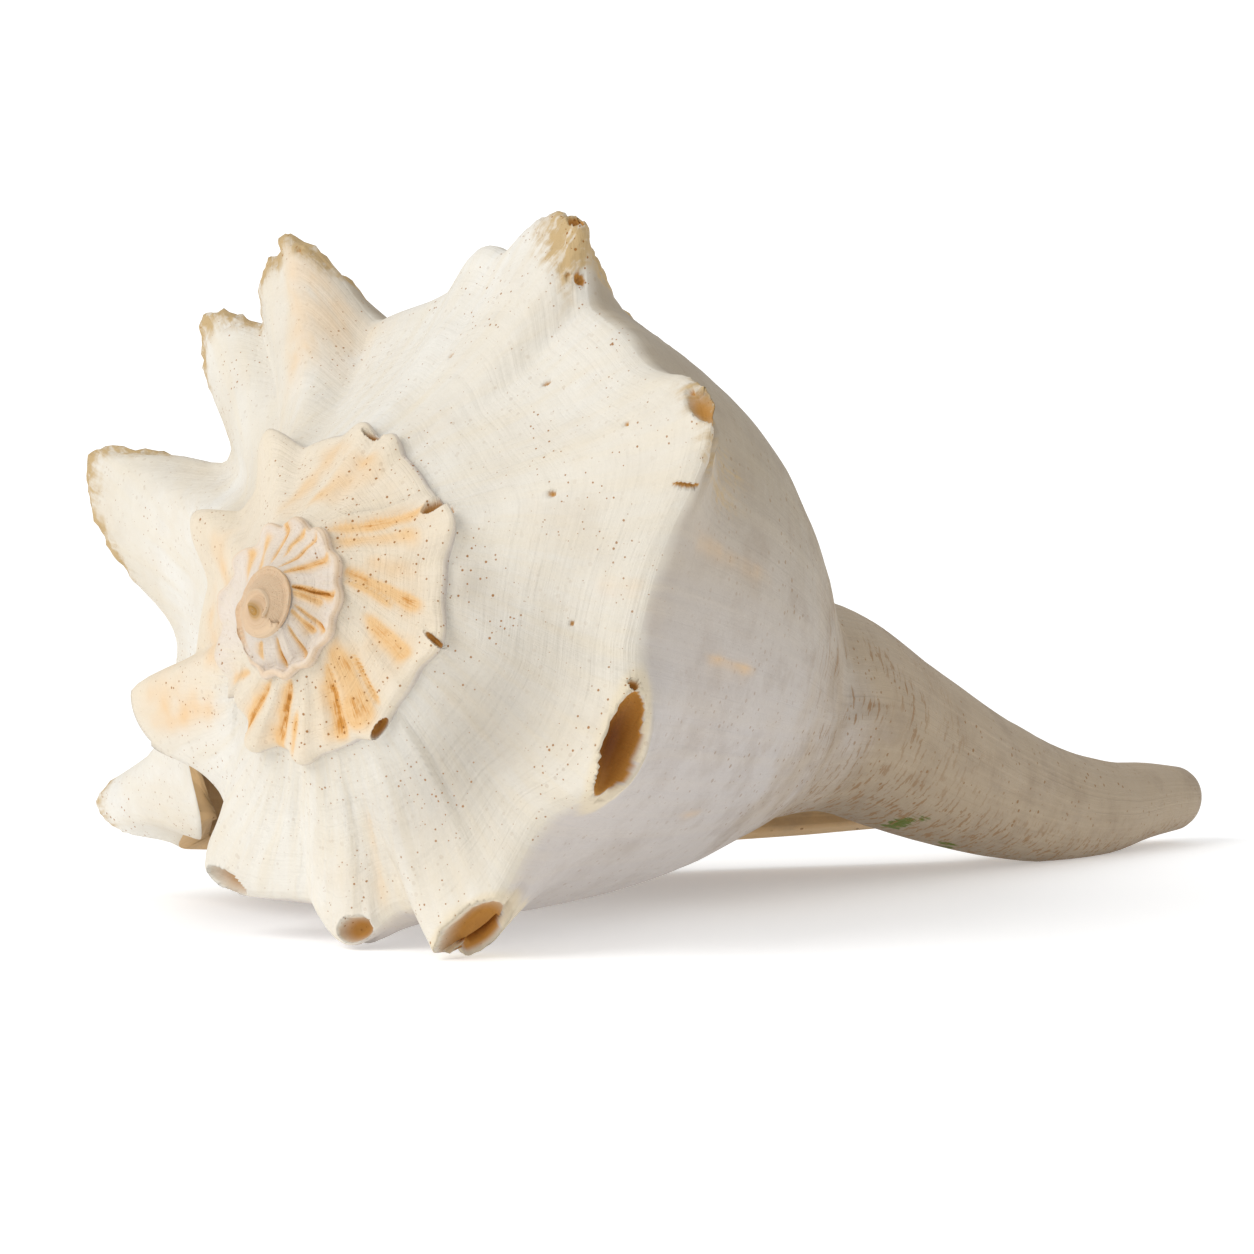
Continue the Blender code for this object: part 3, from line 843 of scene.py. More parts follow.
    def skin(self) -> bmesh.types.BMesh:
        """Model the closed skin of the shell, apex up, in metres.

        Returns:
            The mesh being modelled.
        """
        form = self.growth
        step = TURN / self.columns
        body_angles = form.body_start + step * np.arange(self.columns + 1)
        count = int((form.body_start - form.start) / step)
        spire_angles = form.body_start - step * np.arange(count, -1, -1)
        body = self.outer(body_angles, True)
        spire = self.outer(spire_angles, False)
        spire.points[-1] = body.points[0, :spire.points.shape[1]]
        body.points[:, 0] = spire.points[-self.columns - 1:, -1]
        spire.points[self.columns:, 0] = spire.points[:-self.columns, -1]
        bm = bmesh.new()
        for sheet in (spire, body, self.hollow(body), self.nucleus(spire)):
            sheet.add_to(bm)
        bmesh.ops.remove_doubles(bm, verts=bm.verts, dist=2e-6)
        rims = [edge for edge in bm.edges if edge.is_boundary]
        bmesh.ops.holes_fill(bm, edges=rims, sides=0)
        bmesh.ops.recalc_face_normals(bm, faces=bm.faces)
        if bm.calc_volume(signed=True) < 0.0:
            bmesh.ops.reverse_faces(bm, faces=bm.faces)
        return bm

    def refine(self, bm: bmesh.types.BMesh) -> None:
        """Cut the skin finer around the hollows and over the worn tips of the spines.

        Args:
            bm: The closed skin, apex up, in metres; it is changed.
        """
        chart_map = bm.loops.layers.uv["growth"]
        for cut, margin in enumerate(self.fine_margins):
            verts = list(bm.verts)
            points = np.array([vert.co for vert in verts]) / MM
            chart = np.array([vert.link_loops[0][chart_map].uv for vert in verts])
            theta, share = (chart[:, 0] - TURNS_AT_ZERO) * TURN, chart[:, 1]
            fine = np.zeros(len(verts), dtype=bool)
            if cut == 0:
                high = self.growth.spine_height(theta) > self.fine_lift
                fine = high & (theta > self.fine_from) & (np.abs(share - self.fine_share) < self.fine_reach)
            for pit in self.pits:
                spot = points - self.growth.point(pit.angle, pit.share)
                if pit.length > self.long_pit:
                    angle = math.radians(pit.angle)
                    along = np.array([-math.sin(angle), math.cos(angle), 0.0])
                    run = 1.05 * pit.length - pit.width
                    spot = spot - np.clip(spot @ along, -run, run)[:, None] * along
                    reach = 1.3 * pit.width
                else:
                    reach = 1.15 * max(pit.length, pit.width)
                fine |= (np.linalg.norm(spot, axis=1) < reach + margin) & (share < INSIDE)
            chosen = {vert for vert, wanted in zip(verts, fine) if wanted}
            edges = [edge for edge in bm.edges if edge.verts[0] in chosen and edge.verts[1] in chosen]
            bmesh.ops.subdivide_edges(bm, edges=edges, cuts=1, use_grid_fill=True)
        bmesh.ops.triangulate(bm, faces=[face for face in bm.faces if len(face.verts) > 4])

    def laying(self) -> Matrix:
        """The matrix that lays the apex-up shell down at rest in the frame, in metres.

        Returns:
            The matrix.
        """
        tilt = Matrix.Rotation(math.radians(-self.pitch), 4, "Y")
        turn = Matrix.Rotation(math.radians(-self.roll), 4, "Z")
        return Matrix.Translation(self.rest_shift) @ tilt @ turn

    def build(self) -> bpy.types.Object:
        """Model, carve, paint and lay down the shell.

        Returns:
            The shell's object, in the row frame.
        """
        bm = self.skin()
        self.refine(bm)
        mesh = bpy.data.meshes.new("whelk_shell")
        bm.to_mesh(mesh)
        bm.free()
        carver = Carver(self.growth, self.pits, self.streaks)
        carver.carve(mesh)
        mesh.transform(self.laying())
        points = read(mesh.vertices, "co", 3)
        points[:, 2] = np.maximum(points[:, 2], 0.0)
        mesh.vertices.foreach_set("co", points.ravel())
        mesh.shade_smooth()
        mesh.update()
        return add_object("whelk_shell", mesh)


@dataclass
class Carver:
    """Small relief of the shell, and the masks its finish reads."""

    growth: Growth
    pits: tuple[Pit, ...]
    streaks: tuple[Streak, ...]
    # Pale wash round each mark, and the least length of a pit with a cream lip.
    wash: float = 0.42
    wash_spread: float = 2.4
    lipped: float = 4.0
    # Folds in degrees and mm, cords as a count and mm, and the uneven ground in mm.
    fold_spacing: float = 3.1
    fold_rise: float = 0.07
    low_folds: float = 0.22
    cords_out: float = 19.0
    cord_rise: float = 0.10
    dents: float = 0.22
    bumps: float = 0.08
    # Where things change along the growth, as whorl angles in degrees.
    apex_end: float = -1100.0
    rope_tint_fade: tuple[float, float] = (-575.0, -550.0)
    rope_fade: tuple[float, float] = (-600.0, -560.0)
    late_rope_fade: tuple[float, float] = (-400.0, -380.0)
    last_whorl: tuple[float, float] = (-205.0, -195.0)
    brown_side: tuple[float, float] = (-30.0, 0.0)
    pored_rise: tuple[float, float] = (-520.0, -480.0)
    pored_fall: tuple[float, float] = (-350.0, -320.0)
    folded_rise: tuple[float, float] = (-215.0, -170.0)
    folded_fall: tuple[float, float] = (-75.0, -35.0)
    # Where things change on the way out, as shares.
    # Shares over which the canal's belly turns darker.
    darker_belly: tuple[float, float] = (1.24, 1.52)
    smooth_tip: tuple[float, float] = (1.85, 1.97)
    # Places with a look of their own.
    brown_point: Patch = Patch(21.5, 5.0, 0.9, 0.13, 0.8)
    speckled: Patch = Patch(-33.0, 9.0, 0.1, 0.1)
    # Painted shade over the lower middle of the ramp, where less light reaches.
    low_ramp_shade: Patch = Patch(-75.0, 50.0, 0.38, 0.42, 0.6)
    cracked: Patch = Patch(-36.0, 36.0, 1.4, 0.18, 0.42)
    wrinkled: Patch = Patch(-45.0, 22.0, 1.35, 0.16, 0.35)
    algae: tuple[Patch, ...] = tuple(Patch(angle, 5.0, share, 0.01) for angle, share in (
        (-124.0, 1.565), (-118.0, 1.572), (-112.0, 1.565), (-105.5, 1.571), (-99.0, 1.576), (-130.0, 1.655),
        (-122.0, 1.652), (-116.0, 1.646),
    ))

    def corner_chart(self, mesh: bpy.types.Mesh) -> np.ndarray:
        """Whorl angle and growth share at each face corner.

        Args:
            mesh: The skin.

        Returns:
            Two numbers for each corner.
        """
        chart = read(mesh.uv_layers["growth"].data, "uv", 2)
        chart[:, 0] = (chart[:, 0] - TURNS_AT_ZERO) * TURN
        return chart

    def chart_of(self, mesh: bpy.types.Mesh) -> tuple[np.ndarray, np.ndarray]:
        """Whorl angle and growth share at each vertex.

        Args:
            mesh: The skin.

        Returns:
            The angles, in degrees, and the shares.
        """
        corners = np.empty(len(mesh.loops), dtype=np.int32)
        mesh.loops.foreach_get("vertex_index", corners)
        at = np.zeros((len(mesh.vertices), 2))
        at[corners] = self.corner_chart(mesh)
        return at[:, 0], at[:, 1]

    def carve(self, mesh: bpy.types.Mesh) -> None:
        """Move the vertices into the fine relief and store the masks.

        Args:
            mesh: The closed skin, apex up, in metres; it is changed.
        """
        points = read(mesh.vertices, "co", 3) / MM
        normals = read(mesh.vertex_normals, "vector", 3)
        theta, share = self.chart_of(mesh)
        outside = share < INSIDE
        masks = self.paint(points, theta, share)
        points = points + normals * self.relief(points, theta, share, masks[Mask.TIP])[:, None]
        core, rim = np.zeros_like(share), np.zeros_like(share)
        for pit in self.pits:
            points, inside, lip = self.press(points, normals, pit, outside)
            core, rim = np.maximum(core, inside), np.maximum(rim, lip)
        mesh.vertices.foreach_set("co", (points * MM).ravel())
        masks[Mask.CORE] = core
        masks[Mask.RIM] = rim
        self.map_lines(mesh)
        for mask, values in masks.items():
            layer = mesh.attributes.new(mask.value, "FLOAT", "POINT")
            layer.data.foreach_set("value", values.astype(np.float32))

    def map_lines(self, mesh: bpy.types.Mesh) -> None:
        """Add a UV map that runs across and along the growth lines.

        Args:
            mesh: The skin; it is changed.
        """
        chart = self.corner_chart(mesh)
        chart[:, 0] = self.growth.line(chart[:, 0], chart[:, 1]) / TURN + TURNS_AT_ZERO
        mesh.uv_layers.new(name="lines").data.foreach_set("uv", chart.ravel())

    def paint(self, points: np.ndarray, theta: np.ndarray, share: np.ndarray) -> dict[Mask, np.ndarray]:
        """Work out the painted amounts.

        Args:
            points: Vertex positions, apex up, in mm.
            theta: Whorl angles.
            share: Shares of the way out.

        Returns:
            An amount for each vertex under each mask.
        """
        rust = np.zeros(len(points))
        line = self.growth.line(theta, share)
        for streak in self.streaks:
            rust = np.maximum(rust, streak.strength * streak.amount(line, share))
            wash = replace(streak, width=self.wash_spread * streak.width).amount(line, share)
            rust = np.maximum(rust, self.wash * streak.strength * wash)
        broken = 0.85 + 0.5 * grain(points, 2.2, 25.0)
        rope = 0.2 * (1.0 - ramp(theta, *self.rope_tint_fade)) * hill(share, 0.95, 0.09)
        rust = np.maximum(rust * broken, rope * (theta > self.apex_end))
        lift = self.growth.spine_height(theta)
        last = ramp(theta, *self.last_whorl)
        patchy = 0.75 + 0.5 * grain(points, 5.0, 21.0) + 0.35 * grain(points, 1.8, 5.0)
        high = ramp(lift, 4.5, 13.0) * ramp(theta, *self.brown_side) + 0.5 * ramp(lift, 4.0, 9.0)
        high = high + 1.5 * hill(theta, 20.0, 6.0) * ramp(lift, 3.0, 7.0)
        worn = last * hill(share, 1.0, 0.12) * high * patchy
        worn = np.clip(worn + self.brown_point.amount(theta, share) * patchy, 0.0, 1.0)
        pores = 0.28 + 0.55 * ramp(grain(points, 9.0, 31.0), -0.25, 0.4)
        pores = pores + 0.3 * hill(theta, 22.0, 20.0) * ramp(share, 0.4, 0.9)
        spire = (1.0 - last) * (share < 1.01)
        pored = spire * ramp(theta, *self.pored_rise) * (1.0 - ramp(theta, *self.pored_fall))
        pores = pores + 0.55 * pored
        speckled = self.speckled.amount(theta, share)
        pores = np.where(share > 1.01, 0.3 * pores, pores) + 1.6 * speckled
        # Darker towards the canal's belly.
        belly = ramp(share, *self.darker_belly) * hill(theta, -125.0, 45.0)
        cracked = self.cracked.amount(theta, share) * ramp(grain(points, 4.0, 17.0), -0.35, 0.2)
        # Painted shade over the lower middle of the ramp.
        low_ramp_shade = self.low_ramp_shade.amount(theta, share)
        # Soiling, cracks and grit, with the painted shade of the lower ramp and the darker belly.
        shade = np.where(share > INSIDE, 0.0, low_ramp_shade + 0.62 * belly + cracked + 0.35 * speckled)
        moss = sum(fleck.amount(theta, share) for fleck in self.algae)
        moss = moss * (0.3 + 0.7 * ramp(grain(points, 1.0, 2.0), -0.25, 0.25))
        return {Mask.RUST: rust, Mask.TIP: worn, Mask.PORES: np.clip(pores, 0.0, 1.0), Mask.ALGAE: moss,
                Mask.DIRT_AND_SHADE: shade}

    def relief(self, points: np.ndarray, theta: np.ndarray, share: np.ndarray,
               worn: np.ndarray) -> np.ndarray:
        """Height of the fine relief at each vertex.

        Args:
            points: Vertex positions, apex up, in mm.
            theta: Whorl angles.
            share: Shares of the way out.
            worn: How worn the spines' tips are.

        Returns:
            Heights in mm, outward.
        """
        line = self.growth.line(theta, share)
        wander = 1.2 * grain(points, 16.0, 2.0)
        lines = np.stack([(line + wander) / self.fold_spacing, share * 1.5, np.zeros_like(theta)], axis=1)
        folds = 1.0 - 2.0 * np.abs(grain(lines, 1.0, 5.5))
        low = ramp(theta, *self.folded_rise) * (1.0 - ramp(theta, *self.folded_fall))
        on_ramp = ramp(share, 0.02, 0.2) * (1.0 - ramp(share, 0.9, 1.0))
        size = self.growth.scale(theta)
        lift = folds * (self.fold_rise + self.low_folds * low) * on_ramp * size
        cords = np.stack([theta / 40.0, share * self.cords_out, np.zeros_like(theta)], axis=1)
        cords = 1.0 - 2.0 * np.abs(grain(cords, 1.0, 8.5))
        lift = lift + self.cord_rise * (1.0 - low) * on_ramp * size * cords
        lift = lift + self.fold_rise * folds * (share > EDGE)
        lift = lift + self.wrinkled.amount(theta, share) * grain(points, 2.4, 15.0)
        lift = lift + size * (self.dents * grain(points, 14.0, 3.0) + self.bumps * grain(points, 4.5, 9.0))
        for streak in self.streaks:
            if streak.rise:
                lift = lift + streak.rise * streak.amount(line, share) * (share < 1.015)
        rope = 0.22 * (1.0 - ramp(theta, *self.rope_fade))
        rope = rope + 0.12 * (1.0 - ramp(theta, *self.late_rope_fade))
        lift = lift + 1.5 * rope * hill(share, 0.9, 0.08) * (1.0 + 0.8 * grain(points, 1.6, 19.0))
        lift = lift + worn * (0.6 * grain(points, 2.2, 7.0) + 0.4 * grain(points, 1.1, 4.0) - 0.15)
        lift = lift * (1.0 - ramp(share, *self.smooth_tip))
        return np.where(share < INSIDE, lift, 0.0)

    def press(self, points: np.ndarray, normals: np.ndarray, pit: Pit,
              outside: np.ndarray) -> tuple[np.ndarray, np.ndarray, np.ndarray]:
        """Press one pit into the skin and raise its lip.

        Args:
            points: Vertex positions, in mm.
            normals: Vertex normals.
            pit: The pit.
            outside: True for vertices of the outer skin.

        Returns:
            The moved positions, how deep in the pit each vertex lies, and how near its lip, 0 to 1.
        """
        size = max(pit.length, pit.width)
        middle = self.growth.point(pit.angle, pit.share)
        near = np.nonzero(outside & (np.linalg.norm(points - middle, axis=1) < 1.6 * size + 1.5))[0]
        close = near[np.linalg.norm(points[near] - middle, axis=1) < 0.6 * size + 1.0]
        middle = points[close].mean(axis=0)
        out = Vector(normals[close].mean(axis=0)).normalized()
        angle = math.radians(pit.angle)
        along = Vector((-math.sin(angle), math.cos(angle), 0.0))
        along = (along - out * along.dot(out)).normalized()
        out = Matrix.Rotation(math.radians(pit.lean), 3, along) @ out
        spin = Matrix.Rotation(math.radians(pit.turn), 3, out)
        axes = np.array([out, spin @ along, spin @ out.cross(along)]).T
        local = (points[near] - middle) @ axes
        rough = 1.0 + 0.3 / (1.0 + size) * grain(points[near], 1.6, 12.0)
        across = np.hypot(local[:, 1] / pit.length, local[:, 2] / pit.width) * rough
        facing = normals[near] @ np.array(out) > -0.3
        bowl = -pit.depth * np.sqrt(np.maximum(0.0, 1.0 - across * across))
        inside = facing & (across < 1.0) & (local[:, 0] > bowl)
        raised = np.where(facing & (across >= 1.0), pit.rim * hill(across, 1.0, 0.3), 0.0)
        deep = np.zeros(len(points))
        bottom = pit.stain * (0.25 + 0.75 * np.maximum(0.0, 1.0 - across) ** 0.7)
        deep[near] = np.where(inside, bottom * ramp(local[:, 0] - bowl, 0.0, 0.08 + 0.06 * pit.depth), 0.0)
        local[:, 0] = np.where(inside, bowl, local[:, 0] + raised)
        lip = np.zeros(len(points))
        if pit.length > self.lipped:
            lip[near] = np.where(inside, 0.0, 1.0 - ramp(across, 1.15, 1.5))
        moved = points.copy()
        moved[near] = local @ axes.T + middle
        return moved, deep, lip


def linear(colour: str) -> tuple[float, float, float, float]:
    """Turn an sRGB hex colour into the linear colour a shader takes.

    Args:
        colour: A colour such as "#DDD7CB".

    Returns:
        Linear red, green and blue, and an alpha of 1.
    """
    parts = [int(colour[i:i + 2], 16) / 255.0 for i in (1, 3, 5)]
    red, green, blue = (c / 12.92 if c <= 0.04045 else ((c + 0.055) / 1.055) ** 2.4 for c in parts)
    return red, green, blue, 1.0


def add_node(tree: NodeTree, kind: str, inputs: tuple | dict, out: int | str = 0,
             **settings: object) -> NodeSocket:
    """Add a node with its settings and links.

    Args:
        tree: The node tree.
        kind: The node's type, without "ShaderNode".
        inputs: A value, or an output to link, for each input in order or by its name or number.
        out: Name or number of the wanted output.
        **settings: The node's own properties.

    Returns:
        The wanted output.
    """
    node = tree.nodes.new("ShaderNode" + kind)
    for name, value in settings.items():
        setattr(node, name, value)
    for key, value in inputs.items() if isinstance(inputs, dict) else enumerate(inputs):
        if isinstance(value, NodeSocket):
            tree.links.new(value, node.inputs[key])
        else:
            node.inputs[key].default_value = value
    return node.outputs[out]


# A coat: how much of it there is, and its sRGB hex colour or an output that gives its colour.
Coat = tuple[NodeSocket, str | NodeSocket]


@dataclass(frozen=True)
class Skin:
    """What the finish reads from the shell, as sockets of its node tree.

    Args:
        tree: The node tree.
        where: Object coordinates.
        chart: Growth coordinates: turns and share together.
        turns: Turns grown, from the apex.
        share: Share of the way out.
        masks: The painted amounts.
    """

    tree: NodeTree
    where: NodeSocket
    chart: NodeSocket
    turns: NodeSocket
    share: NodeSocket
    masks: dict[Mask, NodeSocket]


@dataclass(frozen=True)
class WeatheredShell:
    """Finish of a surf-worn whelk: bleached lime shell with no skin left, matt with a faint silkiness.

    The ramp is ivory, the spire peach and orange under a lavender bloom, the body grey-pink and the
    canal taupe.  Painted shade darkens the part of the body that turns away from the light and the lower
    middle of the ramp.  Growth lines cross every whorl and boring sponges have left brown pores.
    """

    # Colours, as sRGB hex.
    ivory: str = "#DCD5C7"
    chalk: str = "#E4E1D9"
    cream: str = "#DDCFB4"
    body: str = "#C7C0BB"
    # Painted shade: the body's colour where it turns away from the light.
    body_painted_shade: str = "#AC9F8B"
    canal: str = "#B09E86"
    spire: str = "#E0D4C0"
    lavender: str = "#DFD3C6"
    cap: str = "#D8B896"
    nucleus: str = "#B98A42"
    peach: str = "#E3BC88"
    orange: str = "#C98A38"
    rust: str = "#A3691F"
    pore: str = "#9A6218"
    grime: str = "#BFA477"
    core: str = "#BC873F"
    core_deep: str = "#7A4612"
    # Colour of soiling and grit, and of painted shade on the lower ramp and the canal's belly.
    dirt_and_shade_tint: str = "#736759"
    stain: str = "#CDB48C"
    mottle: str = "#8E7A66"
    speck: str = "#8C6536"
    algae: str = "#556404"
    inside: str = "#CBA878"
    # Gloss.
    smoothest: float = 0.52
    roughest: float = 0.72
    lime_ior: float = 1.5
    sheen: float = 0.35
    # Counts to a turn, or to the way out.
    growth_lines: float = 110.0
    growth_breaks: float = 1.6
    fine_lines: float = 430.0
    fine_breaks: float = 4.0
    ramp_cords: float = 26.0
    canal_cords: float = 120.0
    cracks_round: float = 30.0
    cracks_along: float = 230.0
    # Sizes in mm.
    pore_spacing: float = 0.72
    pore_size: float = 0.15
    speck_spacing: float = 0.95
    speck_size: float = 0.27

    def material(self) -> bpy.types.Material:
        """Make the shell's material.

        Returns:
            The material.
        """
        material = bpy.data.materials.new("weathered_whelk_shell")
        material.use_nodes = True
        tree = material.node_tree
        add = partial(add_node, tree)
        chart = add("UVMap", (), uv_map="growth")
        turns = add("SeparateXYZ", (chart,))
        masks = {mask: add("Attribute", (), "Fac", attribute_name=mask.value) for mask in Mask}
        skin = Skin(tree, add("TexCoord", (), "Object"), chart, turns, turns.node.outputs[1], masks)
        laid = add("UVMap", (), uv_map="lines")
        lines = self.line_pattern(tree, laid, self.growth_lines, self.growth_breaks)
        fine = self.line_pattern(tree, laid, self.fine_lines, self.fine_breaks)
        ramp_cords = self.line_pattern(tree, chart, 8.0, self.ramp_cords)
        canal_cords = self.line_pattern(tree, chart, 9.0, self.canal_cords)
        on_body = add("MapRange", (skin.share, 1.0, 1.03))
        cords = add("Mix", {0: on_body, 2: ramp_cords, 3: canal_cords})
        on_ramp = add("MapRange", (skin.share, 0.99, 1.04, 1.0, 0.3))
        stripes = add("MapRange", (lines, 0.42, 0.72, 0.0, 0.3))
        stripes = add("Math", (stripes, on_ramp), operation="MULTIPLY")
        rows = add("MapRange", (ramp_cords, 0.38, 0.62, 0.45, 1.3))
        dense = add("Math", (masks[Mask.PORES], rows), operation="MULTIPLY")
        pores = self.pore_pattern(skin, dense)
        flecks = add("Math", (self.speck_pattern(skin), self.crack_pattern(skin)), operation="MAXIMUM")
        coats = [*self.ground_coats(skin), (stripes, self.cream), *self.mark_coats(skin, fine, pores),
                 (flecks, self.speck)]
        colour = linear(self.ivory)
        for amount, hue in coats:
            over = hue if isinstance(hue, NodeSocket) else linear(hue)
            colour = add("Mix", {0: amount, 6: colour, 7: over}, 2, data_type="RGBA")
        shader = tree.nodes["Principled BSDF"]
        tree.links.new(colour, shader.inputs["Base Color"])
        blotch = add("TexNoise", {"Vector": skin.where, "Scale": 180.0, "Detail": 3.0})
        rough = add("MapRange", (blotch, 0.3, 0.7, self.smoothest, self.roughest))
        tree.links.new(rough, shader.inputs["Roughness"])
        shader.inputs["IOR"].default_value = self.lime_ior
        shader.inputs["Specular IOR Level"].default_value = self.sheen
        tree.links.new(self.relief(skin, (lines, fine, cords), pores), shader.inputs["Normal"])
        return material

    def line_pattern(self, tree: NodeTree, chart: NodeSocket, per_turn: float, along: float) -> NodeSocket:
        """Growth lines: noise stretched along the edge the shell grew from.

        Args:
            tree: The node tree.
            chart: The growth coordinates.
            per_turn: Lines in one turn.
            along: How often a line breaks along its length.

        Returns:
            The pattern, about 0 to 1.
        """
        stretch = add_node(tree, "Mapping", {"Vector": chart, "Scale": (per_turn, along, 1.0)})
        inputs = {"Vector": stretch, "Scale": 1.0, "Detail": 3.0, "Roughness": 0.6}
        return add_node(tree, "TexNoise", inputs, noise_dimensions="2D")

    def pore_pattern(self, skin: Skin, density: NodeSocket) -> NodeSocket:
        """Pores about a quarter of a millimetre wide, thicker on the ground where density is high.

        Args:
            skin: What the finish reads.
            density: How thick the pores lie, 0 to 1 and a little over.

        Returns:
            The pattern, 1 in a pore.
        """
        add = partial(add_node, skin.tree)
        inputs = {"Vector": skin.where, "Scale": 1.0 / (self.pore_spacing * MM)}
        cells = add("TexVoronoi", inputs, "Distance")
        size = self.pore_size / self.pore_spacing
        reach = add("MapRange", (density, 0.0, 1.0, 0.25 * size, size))
        pick = add("SeparateColor", (cells.node.outputs["Color"],))
        odd = add("MapRange", (pick, 0.0, 1.0, 0.5, 1.45))
        reach = add("Math", (reach, odd), operation="MULTIPLY")
        inner = add("Math", (reach, 0.6), operation="MULTIPLY")
        return add("MapRange", (cells, inner, reach, 1.0, 0.0), interpolation_type="SMOOTHSTEP")

    def speck_pattern(self, skin: Skin) -> NodeSocket:
        """Dark specks of grit, a fifth of a millimetre wide, caught on the body and canal.

        Args:
            skin: What the finish reads.

        Returns:
            How much of a speck there is.
        """
        add = partial(add_node, skin.tree)
        inputs = {"Vector": skin.where, "Scale": 1.0 / (self.speck_spacing * MM)}
        cells = add("TexVoronoi", inputs, "Distance")
        pick = add("SeparateColor", (cells.node.outputs["Color"],))
        reach = add("MapRange", (pick, 0.35, 1.0, 0.0, self.speck_size / self.speck_spacing))
        near = add("Math", (cells, reach), operation="LESS_THAN")
        patch = add("TexNoise", {"Vector": skin.where, "Scale": 70.0, "Detail": 3.0})
        some = add("MapRange", (patch, 0.4, 0.6, 0.25, 0.85))
        on_body = add("MapRange", (skin.share, EDGE, 1.35, 0.2, 1.0))
        spread = add("Math", (some, on_body), operation="MULTIPLY")
        return add("Math", (near, spread), operation="MULTIPLY")

    def crack_pattern(self, skin: Skin) -> NodeSocket:
        """Hairline cracks across the waist, strongest where the soiling-and-shade mask is high.

        Args:
            skin: What the finish reads.

        Returns:
            How much of a crack there is.
        """
        add = partial(add_node, skin.tree)
        crack = self.line_pattern(skin.tree, skin.chart, self.cracks_round, self.cracks_along)
        crack = add("MapRange", (crack, 0.56, 0.63))
        worn = add("MapRange", {0: skin.masks[Mask.DIRT_AND_SHADE], 1: 0.08, 2: 0.35, 4: 0.75})
        crack = add("Math", (crack, worn), operation="MULTIPLY")
        waist = add("MapRange", (skin.share, 1.24, 1.32))
        return add("Math", (crack, waist), operation="MULTIPLY")

    def ground_coats(self, skin: Skin) -> list[Coat]:
        """Broad colours by place on the shell, with soft clouding, to lay over ivory in turn.

        Args:
            skin: What the finish reads.

        Returns:
            The coats.
        """
        add = partial(add_node, skin.tree)
        turns, share = skin.turns, skin.share
        cloud = add("TexNoise", {"Vector": skin.where, "Scale": 38.0, "Detail": 4.0})
        patch = add("TexNoise", {"Vector": skin.where, "Scale": 110.0, "Detail": 5.0})
        wander = add("Math", (patch, 0.5), operation="SUBTRACT")
        # Painted shade: from about 3.84 turns on, the body colour darkens where it turns away from the
        # light.
        late = add("MapRange", (turns, 3.84, 3.97))
        flank = add("Mix", {0: late, 6: linear(self.body), 7: linear(self.body_painted_shade)}, 2, data_type="RGBA")
        zones = (
            (turns, 3.47, 3.40, self.spire), (turns, 2.50, 2.40, self.lavender),
            (turns, 1.52, 1.44, self.cap), (share, 0.985, EDGE, flank), (share, 1.22, 1.5, self.canal),
            (share, 2.4, 2.6, self.inside),
        )
        coats = [(add("MapRange", (cloud, 0.4, 0.62)), self.chalk)]
        for place, start, end, hue in zones:
            edge = add("Math", (wander, 1.2 * abs(end - start), place), operation="MULTIPLY_ADD")
            coats.append((add("MapRange", (edge, start, end), interpolation_type="SMOOTHSTEP"), hue))
        knob = add("Math", (turns, share), operation="ADD")
        coats.append((add("MapRange", (knob, 0.95, 0.68)), self.nucleus))
        stained = add("MapRange", (share, 0.98, 1.06, 0.6, 0.22))
        mottled = add("MapRange", (share, 0.99, 1.25, 0.14, 0.7))
        clouds = (
            (55.0, 0.50, 0.74, 0.42, stained, self.stain), (150.0, 0.47, 0.68, 0.6, mottled, self.mottle),
        )
        for scale, low, high, most, reach, hue in clouds:
            blot = add("TexNoise", {"Vector": skin.where, "Scale": scale, "Detail": 6.0, "Roughness": 0.65})
            amount = add("MapRange", (blot, low, high, 0.0, most))
            coats.append((add("Math", (amount, reach), operation="MULTIPLY"), hue))
        return coats

    def mark_coats(self, skin: Skin, fine: NodeSocket, pores: NodeSocket) -> list[Coat]:
        """Orange marks, grime, soiling with painted shade, hollows, algae and pores, in the order they lie.

        Args:
            skin: What the finish reads.
            fine: Fine growth lines, which make the marks ragged.
            pores: The pore pattern.

        Returns:
            The coats.
        """
        add = partial(add_node, skin.tree)
        masks = skin.masks
        speck = add("TexNoise", {"Vector": skin.where, "Scale": 900.0, "Detail": 3.0})
        ragged = add("Math", (fine, speck), operation="ADD")
        uneven = add("MapRange", (ragged, 0.75, 1.25, 0.5, 1.4))
        rust, tip, algae = (add("Math", (masks[mask], uneven), operation="MULTIPLY")
                            for mask in (Mask.RUST, Mask.TIP, Mask.ALGAE))
        core = masks[Mask.CORE]
        tints = (
            (masks[Mask.RUST], 0.02, 0.40, self.peach), (rust, 0.35, 0.85, self.orange),
            (rust, 0.80, 1.15, self.rust), (tip, 0.15, 0.95, self.grime),
            # The first coat on the next line lays soiling, cracks and grit, with painted shade on the lower
            # ramp.
            (masks[Mask.DIRT_AND_SHADE], 0.1, 1.3, self.dirt_and_shade_tint), (masks[Mask.RIM], 0.0, 1.3, self.cream),
            (core, 0.05, 0.4, self.core), (core, 0.4, 1.0, self.core_deep), (algae, 0.3, 0.5, self.algae),
        )
        coats = [(add("MapRange", (mark, low, high), interpolation_type="SMOOTHSTEP"), hue)
                 for mark, low, high, hue in tints]
        dark = add("MapRange", (masks[Mask.PORES], 0.2, 0.9, 0.5, 0.9))
        coats.append((add("Math", (pores, dark), operation="MULTIPLY"), self.pore))
        return coats

